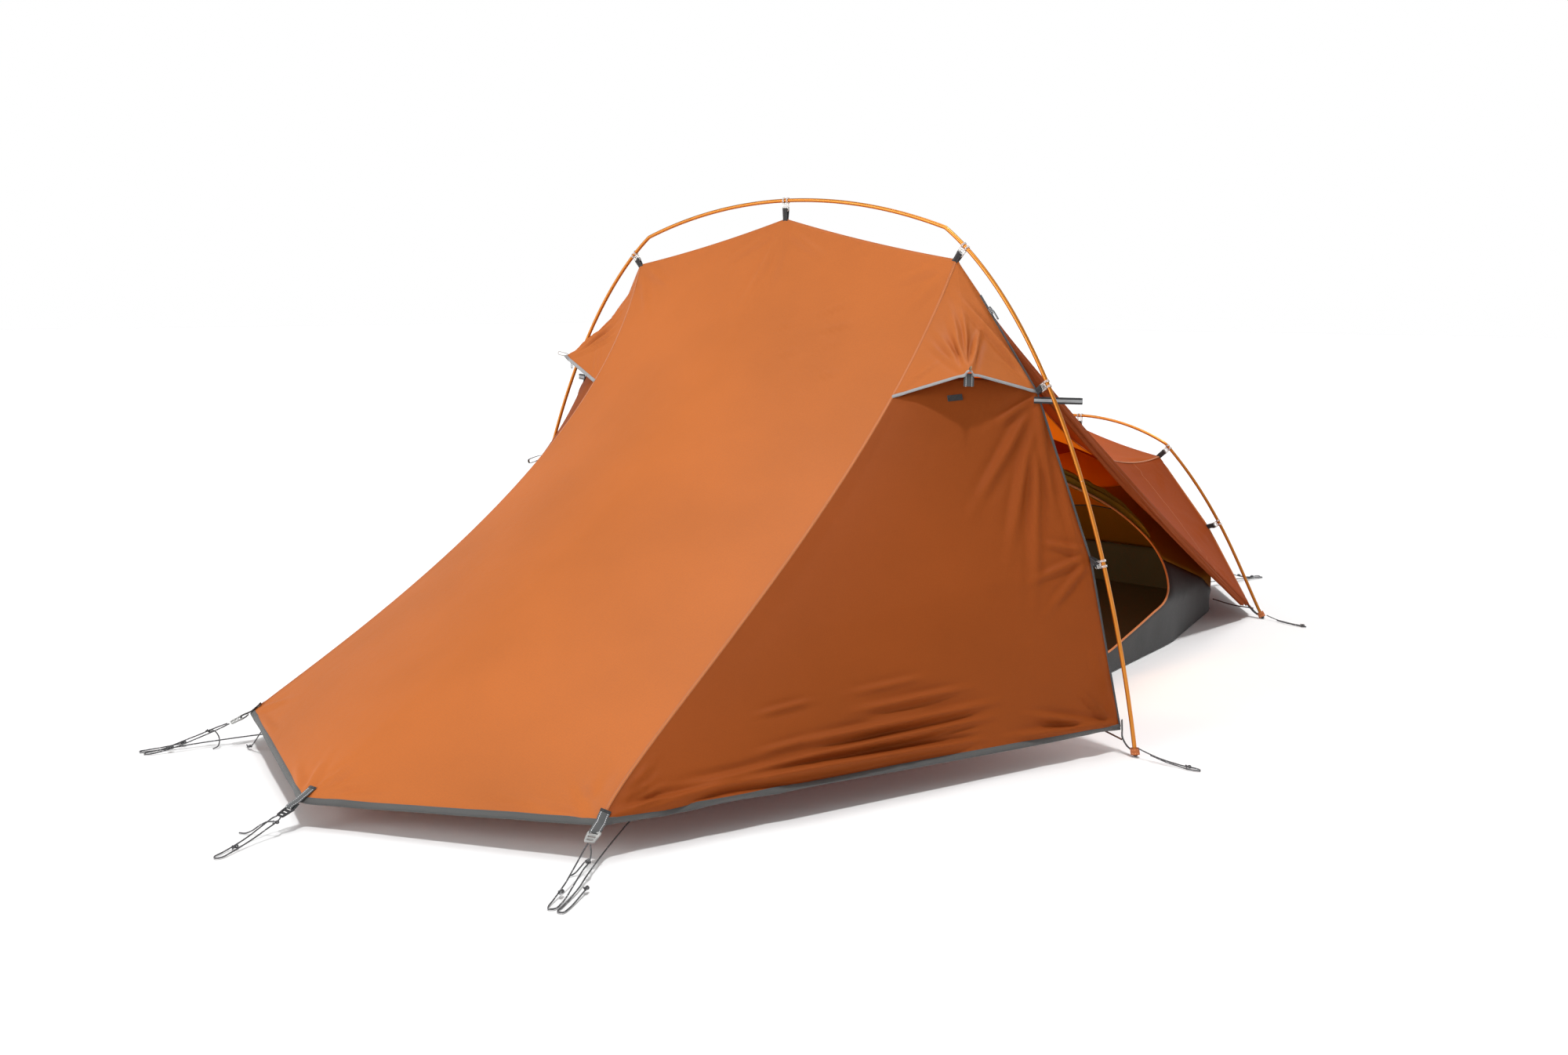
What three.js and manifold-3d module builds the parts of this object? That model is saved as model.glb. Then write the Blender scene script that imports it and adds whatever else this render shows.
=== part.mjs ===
// A two-hoop backpacking tent, pitched: two shock-corded alloy hoops stand outside an orange flysheet and carry it
// on clear clips, and an inner tent with a bathtub floor stands inside. Millimetres, +Z up. +X is the tent's right
// side, where the door is open, and +Y runs from the tall end to the low end. The origin is on the ground, at the
// centre of the footprint.
import * as THREE from "three";
import { mergeVertices } from "three/addons/utils/BufferGeometryUtils.js";
import Module from "manifold-3d";

const wasm = await Module();
wasm.setup();

// ---------------------------------------------------------------- driving dimensions

const POLE = { outer: 8.5, bore: 6.5, cord: 2.6 }; // diameters
const SECTION_GAP = 0.6; // between two pole sections, end to end
// A hoop is an arc over the top, then a leg that bends away at the elbow. Angles are below the horizontal.
const MAIN = {
  y: -260, lean: 0.0225, top: 1100, foot: 906,
  elbow: [426, 1029], elbowAngle: 36, elbowReach: 428, footAngle: 80, footReach: 104,
};
const SMALL = {
  y: 1158, lean: 0.0377, top: 540, foot: 604,
  elbow: [281, 472], elbowAngle: 43.7, elbowReach: 252, footAngle: 58.6, footReach: 139,
};
// Where the flysheet hangs from each hoop: heights of the clips on the pole, and the points of the fly's edge.
const MAIN_CLIPS = { shoulder: 989, mid: 717, low: 372 };
const SMALL_CLIPS = { shoulder: 462, mid: 258 };
const MAIN_EDGE = { apex: [0, 1060], shoulder: [455, 964], mid: [648, 700], low: [784, 375], foot: [864, 50] };
const SMALL_EDGE = { apex: [0, 505], shoulder: [262, 434], mid: [424, 243], foot: [565, 28] };
// Hem corners of the near end and of the far end.
const NEAR_CORNER = new THREE.Vector3(498, -1305, 62);
const NEAR_MIDDLE = new THREE.Vector3(0, -1518, 45);
const FAR_CORNER = new THREE.Vector3(300, 1530, 62);

const FABRIC = 2; // thickness of a cloth panel's solid
const SEAM_GAP = 3; // between two panels that are sewn or zipped together
const DOOR_ZIP_BEHIND = 17; // from the hoop's plane back to the door's zipped edge
const VENT_OUT = 60; // how far the vent hood's hem is held out, and how far up it is pushed
const VENT_UP = 45;

// The floor: the height of its wall, its thickness, and its near corners and near end's middle.
const TRAY = { wall: 120, skin: 2.5, corner: 400, nearY: -1120, middleY: -1250 };
const DEG = Math.PI / 180;

// ---------------------------------------------------------------- small tools

const group = new THREE.Group();

const colours = {
  poleAlloy: [0xd9812e, 0.32, 0.85],
  shockCord: [0x2a2a2c, 0.8, 0],
  blackPlastic: [0x17181a, 0.5, 0],
  clearPlastic: [0xe6e4e0, 0.15, 0],
  flyNylon: [0xc9692c, 0.55, 0],
  innerNylon: [0xb8791f, 0.65, 0],
  trayNylon: [0x6d6e70, 0.6, 0],
  zipMetal: [0x8d9094, 0.35, 0.9],
  webbing: [0x55575a, 0.8, 0],
  guyCord: [0x6a6b6c, 0.75, 0],
};

const materials = Object.fromEntries(
  Object.entries(colours).map(([name, [color, roughness, metalness]]) => [
    name, new THREE.MeshStandardMaterial({ color, roughness, metalness }),
  ]),
);

const lerp = (a, b, t) => a + (b - a) * t;

function mix(a, b, t) {
  return a.clone().lerp(b, t);
}

function mirrored(point) {
  return new THREE.Vector3(-point.x, point.y, point.z);
}

// Where a value that falls all the way from t = 0 to t = 1 comes down to a target.
function whereItFallsTo(target, valueAt) {
  let [low, high] = [0, 1];
  for (let i = 0; i < 40; i++) {
    const half = (low + high) / 2;
    if (valueAt(half) > target) low = half;
    else high = half;
  }
  return low;
}

// A point on the line from one side, over the middle, to the other: across goes from -1 to 1. The line is creased
// at the middle when bend is 1, and rounded when it is more.
function overMiddle(across, side, centre, bend) {
  const weight = Math.abs(across) ** bend;
  return new THREE.Vector3(across * side.x, lerp(centre.y, side.y, weight), lerp(centre.z, side.z, weight));
}

function volume(geometry) {
  const position = geometry.getAttribute("position");
  const index = geometry.index.array;
  const [a, b, c] = [new THREE.Vector3(), new THREE.Vector3(), new THREE.Vector3()];
  let total = 0;
  for (let i = 0; i < index.length; i += 3) {
    a.fromBufferAttribute(position, index[i]);
    b.fromBufferAttribute(position, index[i + 1]);
    c.fromBufferAttribute(position, index[i + 2]);
    total += a.dot(b.cross(c)) / 6;
  }
  return total;
}

// One closed body with shared vertices, its faces pointing out.
function closed(geometry) {
  geometry.deleteAttribute("normal");
  geometry.deleteAttribute("uv");
  const merged = mergeVertices(geometry, 1e-3);
  const index = merged.index.array;
  if (volume(merged) < 0)
    for (let i = 0; i < index.length; i += 3) [index[i + 1], index[i + 2]] = [index[i + 2], index[i + 1]];
  return merged;
}

function solid(geometry) {
  const { index, attributes } = closed(geometry);
  const vertProperties = new Float32Array(attributes.position.array);
  return new wasm.Manifold(new wasm.Mesh({ numProp: 3, vertProperties, triVerts: new Uint32Array(index.array) }));
}

function fromSolid(manifold) {
  const { vertProperties, triVerts } = manifold.getMesh();
  const geometry = new THREE.BufferGeometry();
  geometry.setAttribute("position", new THREE.BufferAttribute(new Float32Array(vertProperties), 3));
  geometry.setIndex(new THREE.BufferAttribute(new Uint32Array(triVerts), 1));
  return geometry;
}

function add(name, geometry, material, parent = group) {
  const mesh = new THREE.Mesh(geometry, materials[material]);
  mesh.name = name;
  parent.add(mesh);
  return mesh;
}

// The same piece on both sides of the tent, the left one being the right one's mirror image.
function addPair(name, geometry, material) {
  add(`${name}_right`, geometry, material);
  add(`${name}_left`, geometry, material).scale.x = -1;
}

// A line through a list of stations, straight from each to the next, which keeps them as the places where a tube
// made along it has its rings.
class Stations extends THREE.Curve {
  constructor(points) {
    super();
    this.points = points;
  }

  getPoint(t, target = new THREE.Vector3()) {
    const place = t * (this.points.length - 1);
    const i = Math.min(Math.floor(place), this.points.length - 2);
    return target.copy(this.points[i]).lerp(this.points[i + 1], place - i);
  }

  getPointAt(t, target) {
    return this.getPoint(t, target);
  }

  getTangentAt(t, target) {
    return this.getTangent(t, target);
  }
}

// A round bar or hollow tube of so many sides, with a ring at each station.
function tube(stations, diameter, sides = 8, bore = 0) {
  const ring = (radius) =>
    Array.from({ length: sides }, (_, i) => {
      const angle = (2 * Math.PI * i) / sides;
      return new THREE.Vector2(radius * Math.cos(angle), radius * Math.sin(angle));
    });
  const shape = new THREE.Shape(ring(diameter / 2));
  if (bore) shape.holes.push(new THREE.Path(ring(bore / 2).reverse()));
  const extrudePath = new Stations(stations);
  return closed(new THREE.ExtrudeGeometry(shape, { steps: stations.length - 1, extrudePath }));
}

// BoxGeometry cuts the squares of its back along the other diagonal from its front's. Cut alike, the two skins of a
// thin, twisted panel stay apart.
function cutBackLikeFront(geometry) {
  const { start, count } = geometry.groups[5];
  const index = geometry.index.array;
  for (let i = start; i < start + count; i += 6) {
    const [a, b, d, , c] = index.slice(i, i + 6);
    index.set([a, b, c, a, c, d], i);
  }
}

// A cloth panel: a box of u by v faces bent onto a surface, half its thickness to each side.
function panel(surface, nu, nv, thickness = FABRIC) {
  const geometry = new THREE.BoxGeometry(1, 1, 1, nu, nv, 1);
  cutBackLikeFront(geometry);
  const position = geometry.getAttribute("position");
  const step = 1e-3;
  for (let i = 0; i < position.count; i++) {
    const u = position.getX(i) + 0.5;
    const v = position.getY(i) + 0.5;
    const along = surface(Math.min(u + step, 1), v).sub(surface(Math.max(u - step, 0), v));
    const across = surface(u, Math.min(v + step, 1)).sub(surface(u, Math.max(v - step, 0)));
    const normal = along.cross(across).normalize();
    const point = surface(u, v).addScaledVector(normal, position.getZ(i) * thickness);
    position.setXYZ(i, point.x, point.y, point.z);
  }
  return closed(geometry);
}

// Moves u and v inwards from the edges, so that a panel stops short of its neighbours.
function inset(surface, u0, u1, v0, v1) {
  return (u, v) => surface(lerp(u0, u1, u), lerp(v0, v1, v));
}

// ---------------------------------------------------------------- hoops

function onHoop(hoop, x, z, behind = 0) {
  return new THREE.Vector3(x, hoop.y + hoop.lean * z + behind, z);
}

// The arc over the top, from 0 at the middle to 1 at the right elbow.
function ridgePoint(hoop, t) {
  const [x, z] = hoop.elbow;
  const drop = hoop.top - z;
  const radius = (x * x + drop * drop) / (2 * drop);
  const angle = t * Math.asin(x / radius);
  return onHoop(hoop, radius * Math.sin(angle), hoop.top - radius * (1 - Math.cos(angle)));
}

function legCurve(hoop) {
  const [x, z] = hoop.elbow;
  const [a, b] = [hoop.elbowAngle * DEG, hoop.footAngle * DEG];
  return new THREE.CubicBezierCurve3(
    onHoop(hoop, x, z),
    onHoop(hoop, x + hoop.elbowReach * Math.cos(a), z - hoop.elbowReach * Math.sin(a)),
    onHoop(hoop, hoop.foot - hoop.footReach * Math.cos(b), hoop.footReach * Math.sin(b)),
    onHoop(hoop, hoop.foot, 0),
  );
}

// How far down the leg it comes to a height, from 0 at the elbow to 1 at the ground.
function legAtHeight(hoop, height) {
  const leg = legCurve(hoop);
  return whereItFallsTo(height, (t) => leg.getPoint(t).z);
}

function legPoints(hoop, from, to, count) {
  const leg = legCurve(hoop);
  return Array.from({ length: count }, (_, i) => leg.getPoint(lerp(from, to, i / (count - 1))));
}

const BELOW_ELBOW = 0.06; // the top section ends this far down the leg's curve
const TIP = { height: 15, width: 9.8, spigot: 12, spigotWidth: 5, round: 2.5 };

function hoopPieces(name, hoop, ridgeSteps, legSteps) {
  const arc = Array.from({ length: ridgeSteps + 1 }, (_, i) => ridgePoint(hoop, i / ridgeSteps));
  const ridge = arc.concat(legPoints(hoop, BELOW_ELBOW / 2, BELOW_ELBOW, 2));
  const acrossTop = (half) => half.slice(1).map(mirrored).reverse().concat(half);
  add(`${name}_hoop_ridge`, tube(acrossTop(ridge), POLE.outer, 8, POLE.bore), "poleAlloy");

  const legTop = BELOW_ELBOW + SECTION_GAP / legCurve(hoop).getLength();
  const leg = legPoints(hoop, legTop, legAtHeight(hoop, TIP.height + 1), legSteps + 1);
  addPair(`${name}_hoop_leg`, tube(leg, POLE.outer, 8, POLE.bore), "poleAlloy");

  const cordEnd = legCurve(hoop).getPoint(legAtHeight(hoop, TIP.height + TIP.spigot + 8));
  const cord = ridge.concat(leg.filter((point, i) => i > 0 && point.z > cordEnd.z + 5), cordEnd);
  add(`${name}_hoop_shock_cord`, tube(acrossTop(cord), POLE.cord, 5), "shockCord");
  addPair(`${name}_hoop_foot_tip`, footTip(hoop), "blackPlastic");
}

// The plastic foot in the end of a leg: a rounded stub under a spigot that goes up the bore.
function footTip(hoop) {
  const profile = [
    [0, 0], [TIP.width / 2 - TIP.round, 0], [TIP.width / 2, TIP.round], [TIP.width / 2, TIP.height],
    [TIP.spigotWidth / 2, TIP.height], [TIP.spigotWidth / 2, TIP.height + TIP.spigot],
    [0, TIP.height + TIP.spigot],
  ].map(([r, h]) => new THREE.Vector2(r, h));
  const geometry = closed(new THREE.LatheGeometry(profile, 10));
  const leg = legCurve(hoop);
  const up = leg.getTangent(1).negate();
  geometry.applyQuaternion(new THREE.Quaternion().setFromUnitVectors(new THREE.Vector3(0, 1, 0), up));
  const shoulder = leg.getPoint(legAtHeight(hoop, TIP.height + 1)).addScaledVector(up, -TIP.height - 0.5);
  geometry.translate(shoulder.x, shoulder.y, shoulder.z);
  geometry.computeBoundingBox();
  up.multiplyScalar(-geometry.boundingBox.min.z / up.z); // slides it along the leg onto the ground
  return geometry.translate(up.x, up.y, up.z);
}

hoopPieces("main", MAIN, 7, 11);
hoopPieces("small", SMALL, 5, 7);

// ---------------------------------------------------------------- clips

// Lengths are measured from the pole's axis.
const CLIP = { ring: 13, ringWidth: 4.5, apart: 11, body: 16, from: 5, to: 24, thick: 5, slot: [18, 21.5], play: 0.7 };

// A clear clip: two rings round the pole, and a flat body with a slot for the fly's webbing. It is made with the
// pole along Y and its body towards +X.
function clipGeometry() {
  const ring = (y) => {
    const shape = new THREE.Shape().absarc(0, 0, CLIP.ring / 2, 0, 2 * Math.PI);
    const hole = new THREE.Path().absarc(0, 0, POLE.outer / 2 + CLIP.play, 0, 2 * Math.PI, true);
    shape.holes.push(hole);
    const geometry = new THREE.ExtrudeGeometry(shape, {
      depth: CLIP.ringWidth, bevelEnabled: false, curveSegments: 4,
    });
    geometry.rotateX(-Math.PI / 2).translate(0, y - CLIP.ringWidth / 2, 0);
    return solid(geometry);
  };
  const length = CLIP.to - CLIP.from;
  const body = new THREE.BoxGeometry(length, CLIP.body, CLIP.thick).translate(CLIP.from + length / 2, 0, 0);
  const slotLength = CLIP.slot[1] - CLIP.slot[0];
  const slot = new THREE.BoxGeometry(slotLength, CLIP.body - 4, 2 * CLIP.thick);
  slot.translate(CLIP.slot[0] + slotLength / 2, 0, 0);
  const whole = ring(-CLIP.apart / 2).add(ring(CLIP.apart / 2)).add(solid(body)).subtract(solid(slot));
  return fromSolid(whole);
}

const clip = clipGeometry();

// Stands the clip on the pole at a point, facing the fly's edge.
function addClip(name, pole, tangent, edge) {
  const y = tangent.clone().normalize();
  const x = edge.clone().sub(pole);
  x.addScaledVector(y, -x.dot(y)).normalize();
  const placed = clip.clone().applyMatrix4(new THREE.Matrix4().makeBasis(x, y, x.clone().cross(y)));
  add(name, placed.translate(pole.x, pole.y, pole.z), "clearPlastic");
}

function hoopClips(name, hoop, heights, edge) {
  addClip(`${name}_clip_crown`, onHoop(hoop, 0, hoop.top), new THREE.Vector3(1, 0, 0), onHoop(hoop, ...edge.apex));
  for (const [place, height] of Object.entries(heights)) {
    const t = legAtHeight(hoop, height);
    const leg = legCurve(hoop);
    const points = [leg.getPoint(t), leg.getTangent(t), onHoop(hoop, ...edge[place])];
    addClip(`${name}_clip_${place}_right`, ...points);
    addClip(`${name}_clip_${place}_left`, ...points.map(mirrored));
  }
}

hoopClips("main", MAIN, MAIN_CLIPS, MAIN_EDGE);
hoopClips("small", SMALL, SMALL_CLIPS, SMALL_EDGE);

// ---------------------------------------------------------------- flysheet

const apex = onHoop(MAIN, ...MAIN_EDGE.apex);
const shoulder = onHoop(MAIN, ...MAIN_EDGE.shoulder);
const smallApex = onHoop(SMALL, ...SMALL_EDGE.apex);
const smallShoulder = onHoop(SMALL, ...SMALL_EDGE.shoulder);
const smallFoot = onHoop(SMALL, ...SMALL_EDGE.foot);

// The long seam from the shoulder to the near corner, and the near end's middle line, both hollow curves.
const seam = new THREE.CubicBezierCurve3(
  shoulder, new THREE.Vector3(384, -450, 474), new THREE.Vector3(455, -1219, 140), NEAR_CORNER,
);
const middle = new THREE.CubicBezierCurve3(
  apex, new THREE.Vector3(0, -490, 530), new THREE.Vector3(0, -1390, 130), NEAR_MIDDLE,
);

// A line from one point of a list to the next, with t from 0 to 1 over the whole length.
function polyline(points) {
  const path = new THREE.CurvePath();
  points.slice(1).forEach((point, i) => path.add(new THREE.LineCurve3(points[i], point)));
  return (t) => path.getPoint(Math.min(Math.max(t, 0), 1));
}

// The near end: u from the left seam to the right seam, v from the ridge to the hem. It is creased at the ridge and
// at the hem, and rounded between them.
function nearEnd(u, v) {
  return overMiddle(2 * u - 1, seam.getPoint(v), middle.getPoint(v), 1 + 0.6 * Math.sin(Math.PI * v));
}

const SEAM_AT_VENT = 0.2; // the vent's corner on the long seam
const EDGE_BEHIND = 12; // the panels by the zip go this far past the hoop's plane
const hoopEdge = (names, behind) => polyline(names.map((name) => onHoop(MAIN, ...MAIN_EDGE[name], behind)));
const sideEdge = hoopEdge(["mid", "low", "foot"], EDGE_BEHIND);
const hoodEdge = hoopEdge(["shoulder", "mid"], EDGE_BEHIND);
const ventAlong = hoodEdge(1).sub(seam.getPoint(SEAM_AT_VENT)).setZ(0).normalize();
const ventOutwards = new THREE.Vector3(ventAlong.y, -ventAlong.x, 0);
const BEHIND_HOOD = 38; // how far the side panel goes up behind the vent hood's middle
const SIDE_DROP = 5; // and how far under the hood's ends its own ends are

// The side of the near end, between the long seam and the hoop: u from the seam to the hoop, v from the vent down
// to the hem.

function sidePanel(u, v) {
  const point = mix(seam.getPoint(lerp(SEAM_AT_VENT, 1, v)), sideEdge(v), u);
  const rise = BEHIND_HOOD * 4 * u * (1 - u) * (1 - v) ** 6;
  point.z += rise - SIDE_DROP * (1 - v);
  return point;
}

// The vent hood above it: u from the seam to the hoop, v from the shoulder down to the hood's hem, whose middle is
// pushed out and up.
function ventHood(u, v) {
  const point = mix(seam.getPoint(lerp(0.004, SEAM_AT_VENT, v)), hoodEdge(lerp(0.02, 1, v)), u);
  const push = (1 - Math.abs(2 * u - 1)) * v * v;
  point.addScaledVector(ventOutwards, VENT_OUT * push);
  point.z += VENT_UP * push;
  return point;
}

// The roof between the hoops, hollow along its length: u from left to right, v from the main hoop to the small one.
const ROOF_SAG = 155;

function sagging(from, to, t, sag) {
  const point = mix(from, to, t);
  point.z -= 4 * sag * t * (1 - t);
  return point;
}

function roof(u, v) {
  const side = sagging(shoulder, smallShoulder, v, ROOF_SAG);
  const centre = sagging(apex, smallApex, v, ROOF_SAG);
  return overMiddle(2 * u - 1, side, centre, 1 + 0.4 * Math.sin(Math.PI * v));
}

// The door is a triangle: its zipped edge runs down the hoop, and it turns on the diagonal from the top of the zip
// to the small hoop's foot.
const zipTop = onHoop(MAIN, 503, 891, DOOR_ZIP_BEHIND);
const doorEdge = polyline([
  zipTop,
  ...["mid", "low", "foot"].map((name) => onHoop(MAIN, ...MAIN_EDGE[name], DOOR_ZIP_BEHIND)),
]);

// Down the small hoop, on the side of the rear panel and on the side of the far end.
const SMALL_GAP = 4; // from the hoop's plane to each of the two panels
const smallEdge = (names, behind) => polyline(names.map((name) => onHoop(SMALL, ...SMALL_EDGE[name], behind)));
const rearEdge = smallEdge(["shoulder", "mid", "foot"], -SMALL_GAP);
const archHalf = smallEdge(["apex", "shoulder", "mid", "foot"], SMALL_GAP);

// The rear panel fills the space above the diagonal: u from the main hoop to the small one, v from the roof's edge
// down to the diagonal.
function rearPanel(u, v) {
  const top = sagging(onHoop(MAIN, ...MAIN_EDGE.shoulder, DOOR_ZIP_BEHIND), smallShoulder, u, ROOF_SAG);
  const bottom = mix(zipTop, smallFoot, u);
  const straight = mix(top, bottom, v);
  return straight.lerp(rearEdge(v), u ** 6);
}

// The door: u from the diagonal down the zipped edge, v from the main hoop towards the small hoop's foot.
function doorPanel(u, v) {
  return mix(doorEdge(u), smallFoot, v);
}

// The far end: u goes over the small hoop from foot to foot and round the hem under it, v from the hoop to the hem.
const FAR_END_SAG = 25;
const hemHalf = polyline([new THREE.Vector3(0, FAR_CORNER.y, FAR_CORNER.z), FAR_CORNER, smallFoot]);

function farEnd(u, v) {
  const across = 2 * u - 1;
  const point = mix(archHalf(Math.abs(across)), hemHalf(Math.abs(across)), v);
  point.z -= FAR_END_SAG * 4 * v * (1 - v) * (1 - across ** 4);
  point.x *= Math.sign(across);
  return point;
}

add("fly_near_end", panel(inset(nearEnd, 0.004, 0.996, 0.004, 1), 10, 9), "flyNylon");
addPair("fly_side_panel", panel(inset(sidePanel, 0.01, 1, 0, 1), 6, 8), "flyNylon");
addPair("fly_vent_hood", panel(inset(ventHood, 0.02, 0.99, 0.06, 0.97), 6, 5), "flyNylon");
add("fly_roof", panel(inset(roof, 0.004, 0.996, 0.003, 0.996), 8, 9), "flyNylon");
addPair("fly_rear_panel", panel(inset(rearPanel, 0.01, 0.99, 0.03, 0.985), 8, 3), "flyNylon");

// The far end's two hem corners end in short tabs of webbing, sewn on.
const HEM_TAB = { wide: 16, long: 46, thick: 3, end: 1562, height: 56 }; // end is how far out along Y they go

function hemTab(side) {
  const geometry = new THREE.BoxGeometry(HEM_TAB.wide, HEM_TAB.long, HEM_TAB.thick);
  geometry.rotateX(-0.3).rotateZ(-0.25 * side).computeBoundingBox();
  return solid(geometry.translate(side * (FAR_CORNER.x + 1), HEM_TAB.end - geometry.boundingBox.max.y, HEM_TAB.height));
}

const farPanel = solid(panel(inset(farEnd, 0.015, 0.985, 0, 1), 16, 3));
add("fly_far_end", fromSolid(farPanel.add(hemTab(1)).add(hemTab(-1))), "flyNylon");
const door = panel(inset(doorPanel, 0.008, 0.995, 0, 0.965), 8, 4);
add("fly_door_left", door, "flyNylon").scale.x = -1;

// The right door is rolled up under the diagonal: a flattened roll, thinner at its low end.
const ROLL = { thick: 30, wide: 38, below: 24, out: 6 };

function doorRoll() {
  const down = mix(doorEdge(0.5), smallFoot, 0.3).sub(mix(zipTop, smallFoot, 0.5));
  const line = smallFoot.clone().sub(zipTop).normalize();
  down.addScaledVector(line, -down.dot(line)).normalize();
  const out = line.clone().cross(down).normalize();
  const geometry = new THREE.CylinderGeometry(1, 1, 1, 10, 12);
  const position = geometry.getAttribute("position");
  for (let i = 0; i < position.count; i++) {
    const t = position.getY(i) + 0.5;
    const slim = lerp(1, 0.45, t ** 2) * lerp(0.55, 1, Math.min(1, t * 6));
    const point = mix(zipTop, smallFoot, lerp(0.02, 0.96, t));
    point.addScaledVector(down, ROLL.below * slim + (position.getX(i) * ROLL.wide * slim) / 2);
    point.addScaledVector(out, ROLL.out + (position.getZ(i) * ROLL.thick * slim) / 2);
    position.setXYZ(i, point.x, point.y, point.z);
  }
  return closed(geometry);
}

add("fly_door_roll_right", doorRoll(), "flyNylon");

// ---------------------------------------------------------------- vent tabs

const TAB = { wide: 21, long: 26, thick: 1.6, inside: 4, below: 6 }; // inside and below the hood's peak

// The closing tab that hangs inside the hood's peak.
function ventTab() {
  const geometry = new THREE.BoxGeometry(TAB.wide, TAB.thick, TAB.long).translate(0, 0, -TAB.long / 2);
  geometry.rotateZ(Math.atan2(ventAlong.y, ventAlong.x));
  const at = ventHood(0.5, 0.97).addScaledVector(ventOutwards, -TAB.inside);
  return closed(geometry.translate(at.x, at.y, at.z - TAB.below));
}

addPair("vent_tab", ventTab(), "webbing");

// ---------------------------------------------------------------- zip sliders

const SLIDER = { wide: 8, long: 17, thick: 4.5, off: 5.5 };
const PULL = { wide: 6.5, long: 24, thick: 1.6, hole: 2 };

const zipEdge = hoopEdge(["shoulder", "mid", "low", "foot"], EDGE_BEHIND);

// A slider on the zipped edge at a height, with its pull tab hanging from it, made for the right side.
function zipParts(height) {
  const t = whereItFallsTo(height, (place) => zipEdge(place).z);
  const at = zipEdge(t);
  const upwards = zipEdge(t - 0.01).sub(zipEdge(t + 0.01)).normalize();
  const out = new THREE.Vector3(upwards.z, 0, -upwards.x);
  const frame = new THREE.Matrix4().makeBasis(out, upwards.clone().cross(out), upwards);
  at.y -= SLIDER.wide / 2 + 0.5;
  at.addScaledVector(out, SLIDER.off);

  const outline = new THREE.Shape();
  outline.moveTo(-SLIDER.wide / 2, -SLIDER.long / 2);
  outline.lineTo(SLIDER.wide / 2, -SLIDER.long / 2);
  outline.lineTo(SLIDER.wide / 2, SLIDER.long / 4);
  outline.lineTo(0, SLIDER.long / 2);
  outline.lineTo(-SLIDER.wide / 2, SLIDER.long / 4);
  const body = new THREE.ExtrudeGeometry(outline, { depth: SLIDER.thick, bevelEnabled: false });
  body.rotateX(Math.PI / 2).rotateZ(Math.PI / 2).translate(-SLIDER.thick / 2, 0, 0);

  const tab = new THREE.Shape().absarc(0, -PULL.wide / 2, PULL.wide / 2, 0, Math.PI);
  tab.absarc(0, -PULL.long + PULL.wide / 2, PULL.wide / 2, Math.PI, 2 * Math.PI);
  tab.holes.push(new THREE.Path().absarc(0, -PULL.long + PULL.wide / 2, PULL.hole, 0, 2 * Math.PI, true));
  const pull = new THREE.ExtrudeGeometry(tab, { depth: PULL.thick, bevelEnabled: false, curveSegments: 5 });
  pull.rotateX(Math.PI / 2).rotateZ(Math.PI / 2).translate(SLIDER.thick / 2 + 0.6, 0, -2);
  return [body, pull].map((geometry) => closed(geometry.applyMatrix4(frame).translate(at.x, at.y, at.z)));
}

const ZIP_OPEN_HEIGHT = 858; // of the right slider, near the top of its zip
const ZIP_SHUT_HEIGHT = 95; // of the left slider, by the hem
const [openSlider, openPull] = zipParts(ZIP_OPEN_HEIGHT);
const [shutSlider, shutPull] = zipParts(ZIP_SHUT_HEIGHT);
add("zip_slider_right", openSlider, "zipMetal");
add("zip_pull_right", openPull, "zipMetal");
add("zip_slider_left", shutSlider, "zipMetal").scale.x = -1;
add("zip_pull_left", shutPull, "zipMetal").scale.x = -1;

// ---------------------------------------------------------------- inner tent

const DROP = 70; // the inner tent hangs this far under the flysheet
const INNER_RISE = 6; // its ends are sewn to the tray this far above the tray's wall
const INNER_BEND = 1.4; // how rounded it is across its ridge
const innerShoulder = onHoop(MAIN, 360, 900, 8);
const innerApex = onHoop(MAIN, 0, 1060 - DROP, 8);
const innerSmallShoulder = onHoop(SMALL, 205, 365, -8);
const innerSmallApex = onHoop(SMALL, 0, 505 - DROP, -8);
const innerSeam = new THREE.CubicBezierCurve3(
  innerShoulder, new THREE.Vector3(315, -430, 440), new THREE.Vector3(370, -960, 210),
  new THREE.Vector3(TRAY.corner, TRAY.nearY, TRAY.wall + INNER_RISE),
);
const innerMiddle = new THREE.CubicBezierCurve3(
  innerApex, new THREE.Vector3(0, -470, 460), new THREE.Vector3(0, -1050, 230),
  new THREE.Vector3(0, TRAY.middleY, TRAY.wall + INNER_RISE),
);

// Half of the floor's outline, from the near end's middle round the right side to the far end's middle.
const floorHalf = [
  [0, TRAY.middleY], [TRAY.corner, TRAY.nearY], [600, -250], [562, 330], [537, 712], [440, 1190], [255, 1380],
  [0, 1400],
];

const END_HALF_WIDTH = 430; // where the outline is narrower than this, it belongs to one of the two ends

// The floor's outline, moved inwards by a margin.
function floorShape(margin) {
  const half = floorHalf.map(([x, y]) => {
    const inwards = x < END_HALF_WIDTH ? -Math.sign(y) * margin : 0;
    return [Math.max(x - margin, 0), y + inwards];
  });
  const outline = half.concat(half.slice(1, -1).map(([x, y]) => [-x, y]).reverse());
  return new THREE.Shape(outline.map(([x, y]) => new THREE.Vector2(x, y)));
}

function innerNear(u, v) {
  return overMiddle(2 * u - 1, innerSeam.getPoint(v), innerMiddle.getPoint(v), 1 + 0.5 * Math.sin(Math.PI * v));
}

function innerRoof(u, v) {
  const side = sagging(innerShoulder, innerSmallShoulder, v, ROOF_SAG);
  const centre = sagging(innerApex, innerSmallApex, v, ROOF_SAG);
  return overMiddle(2 * u - 1, side, centre, INNER_BEND);
}

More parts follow.
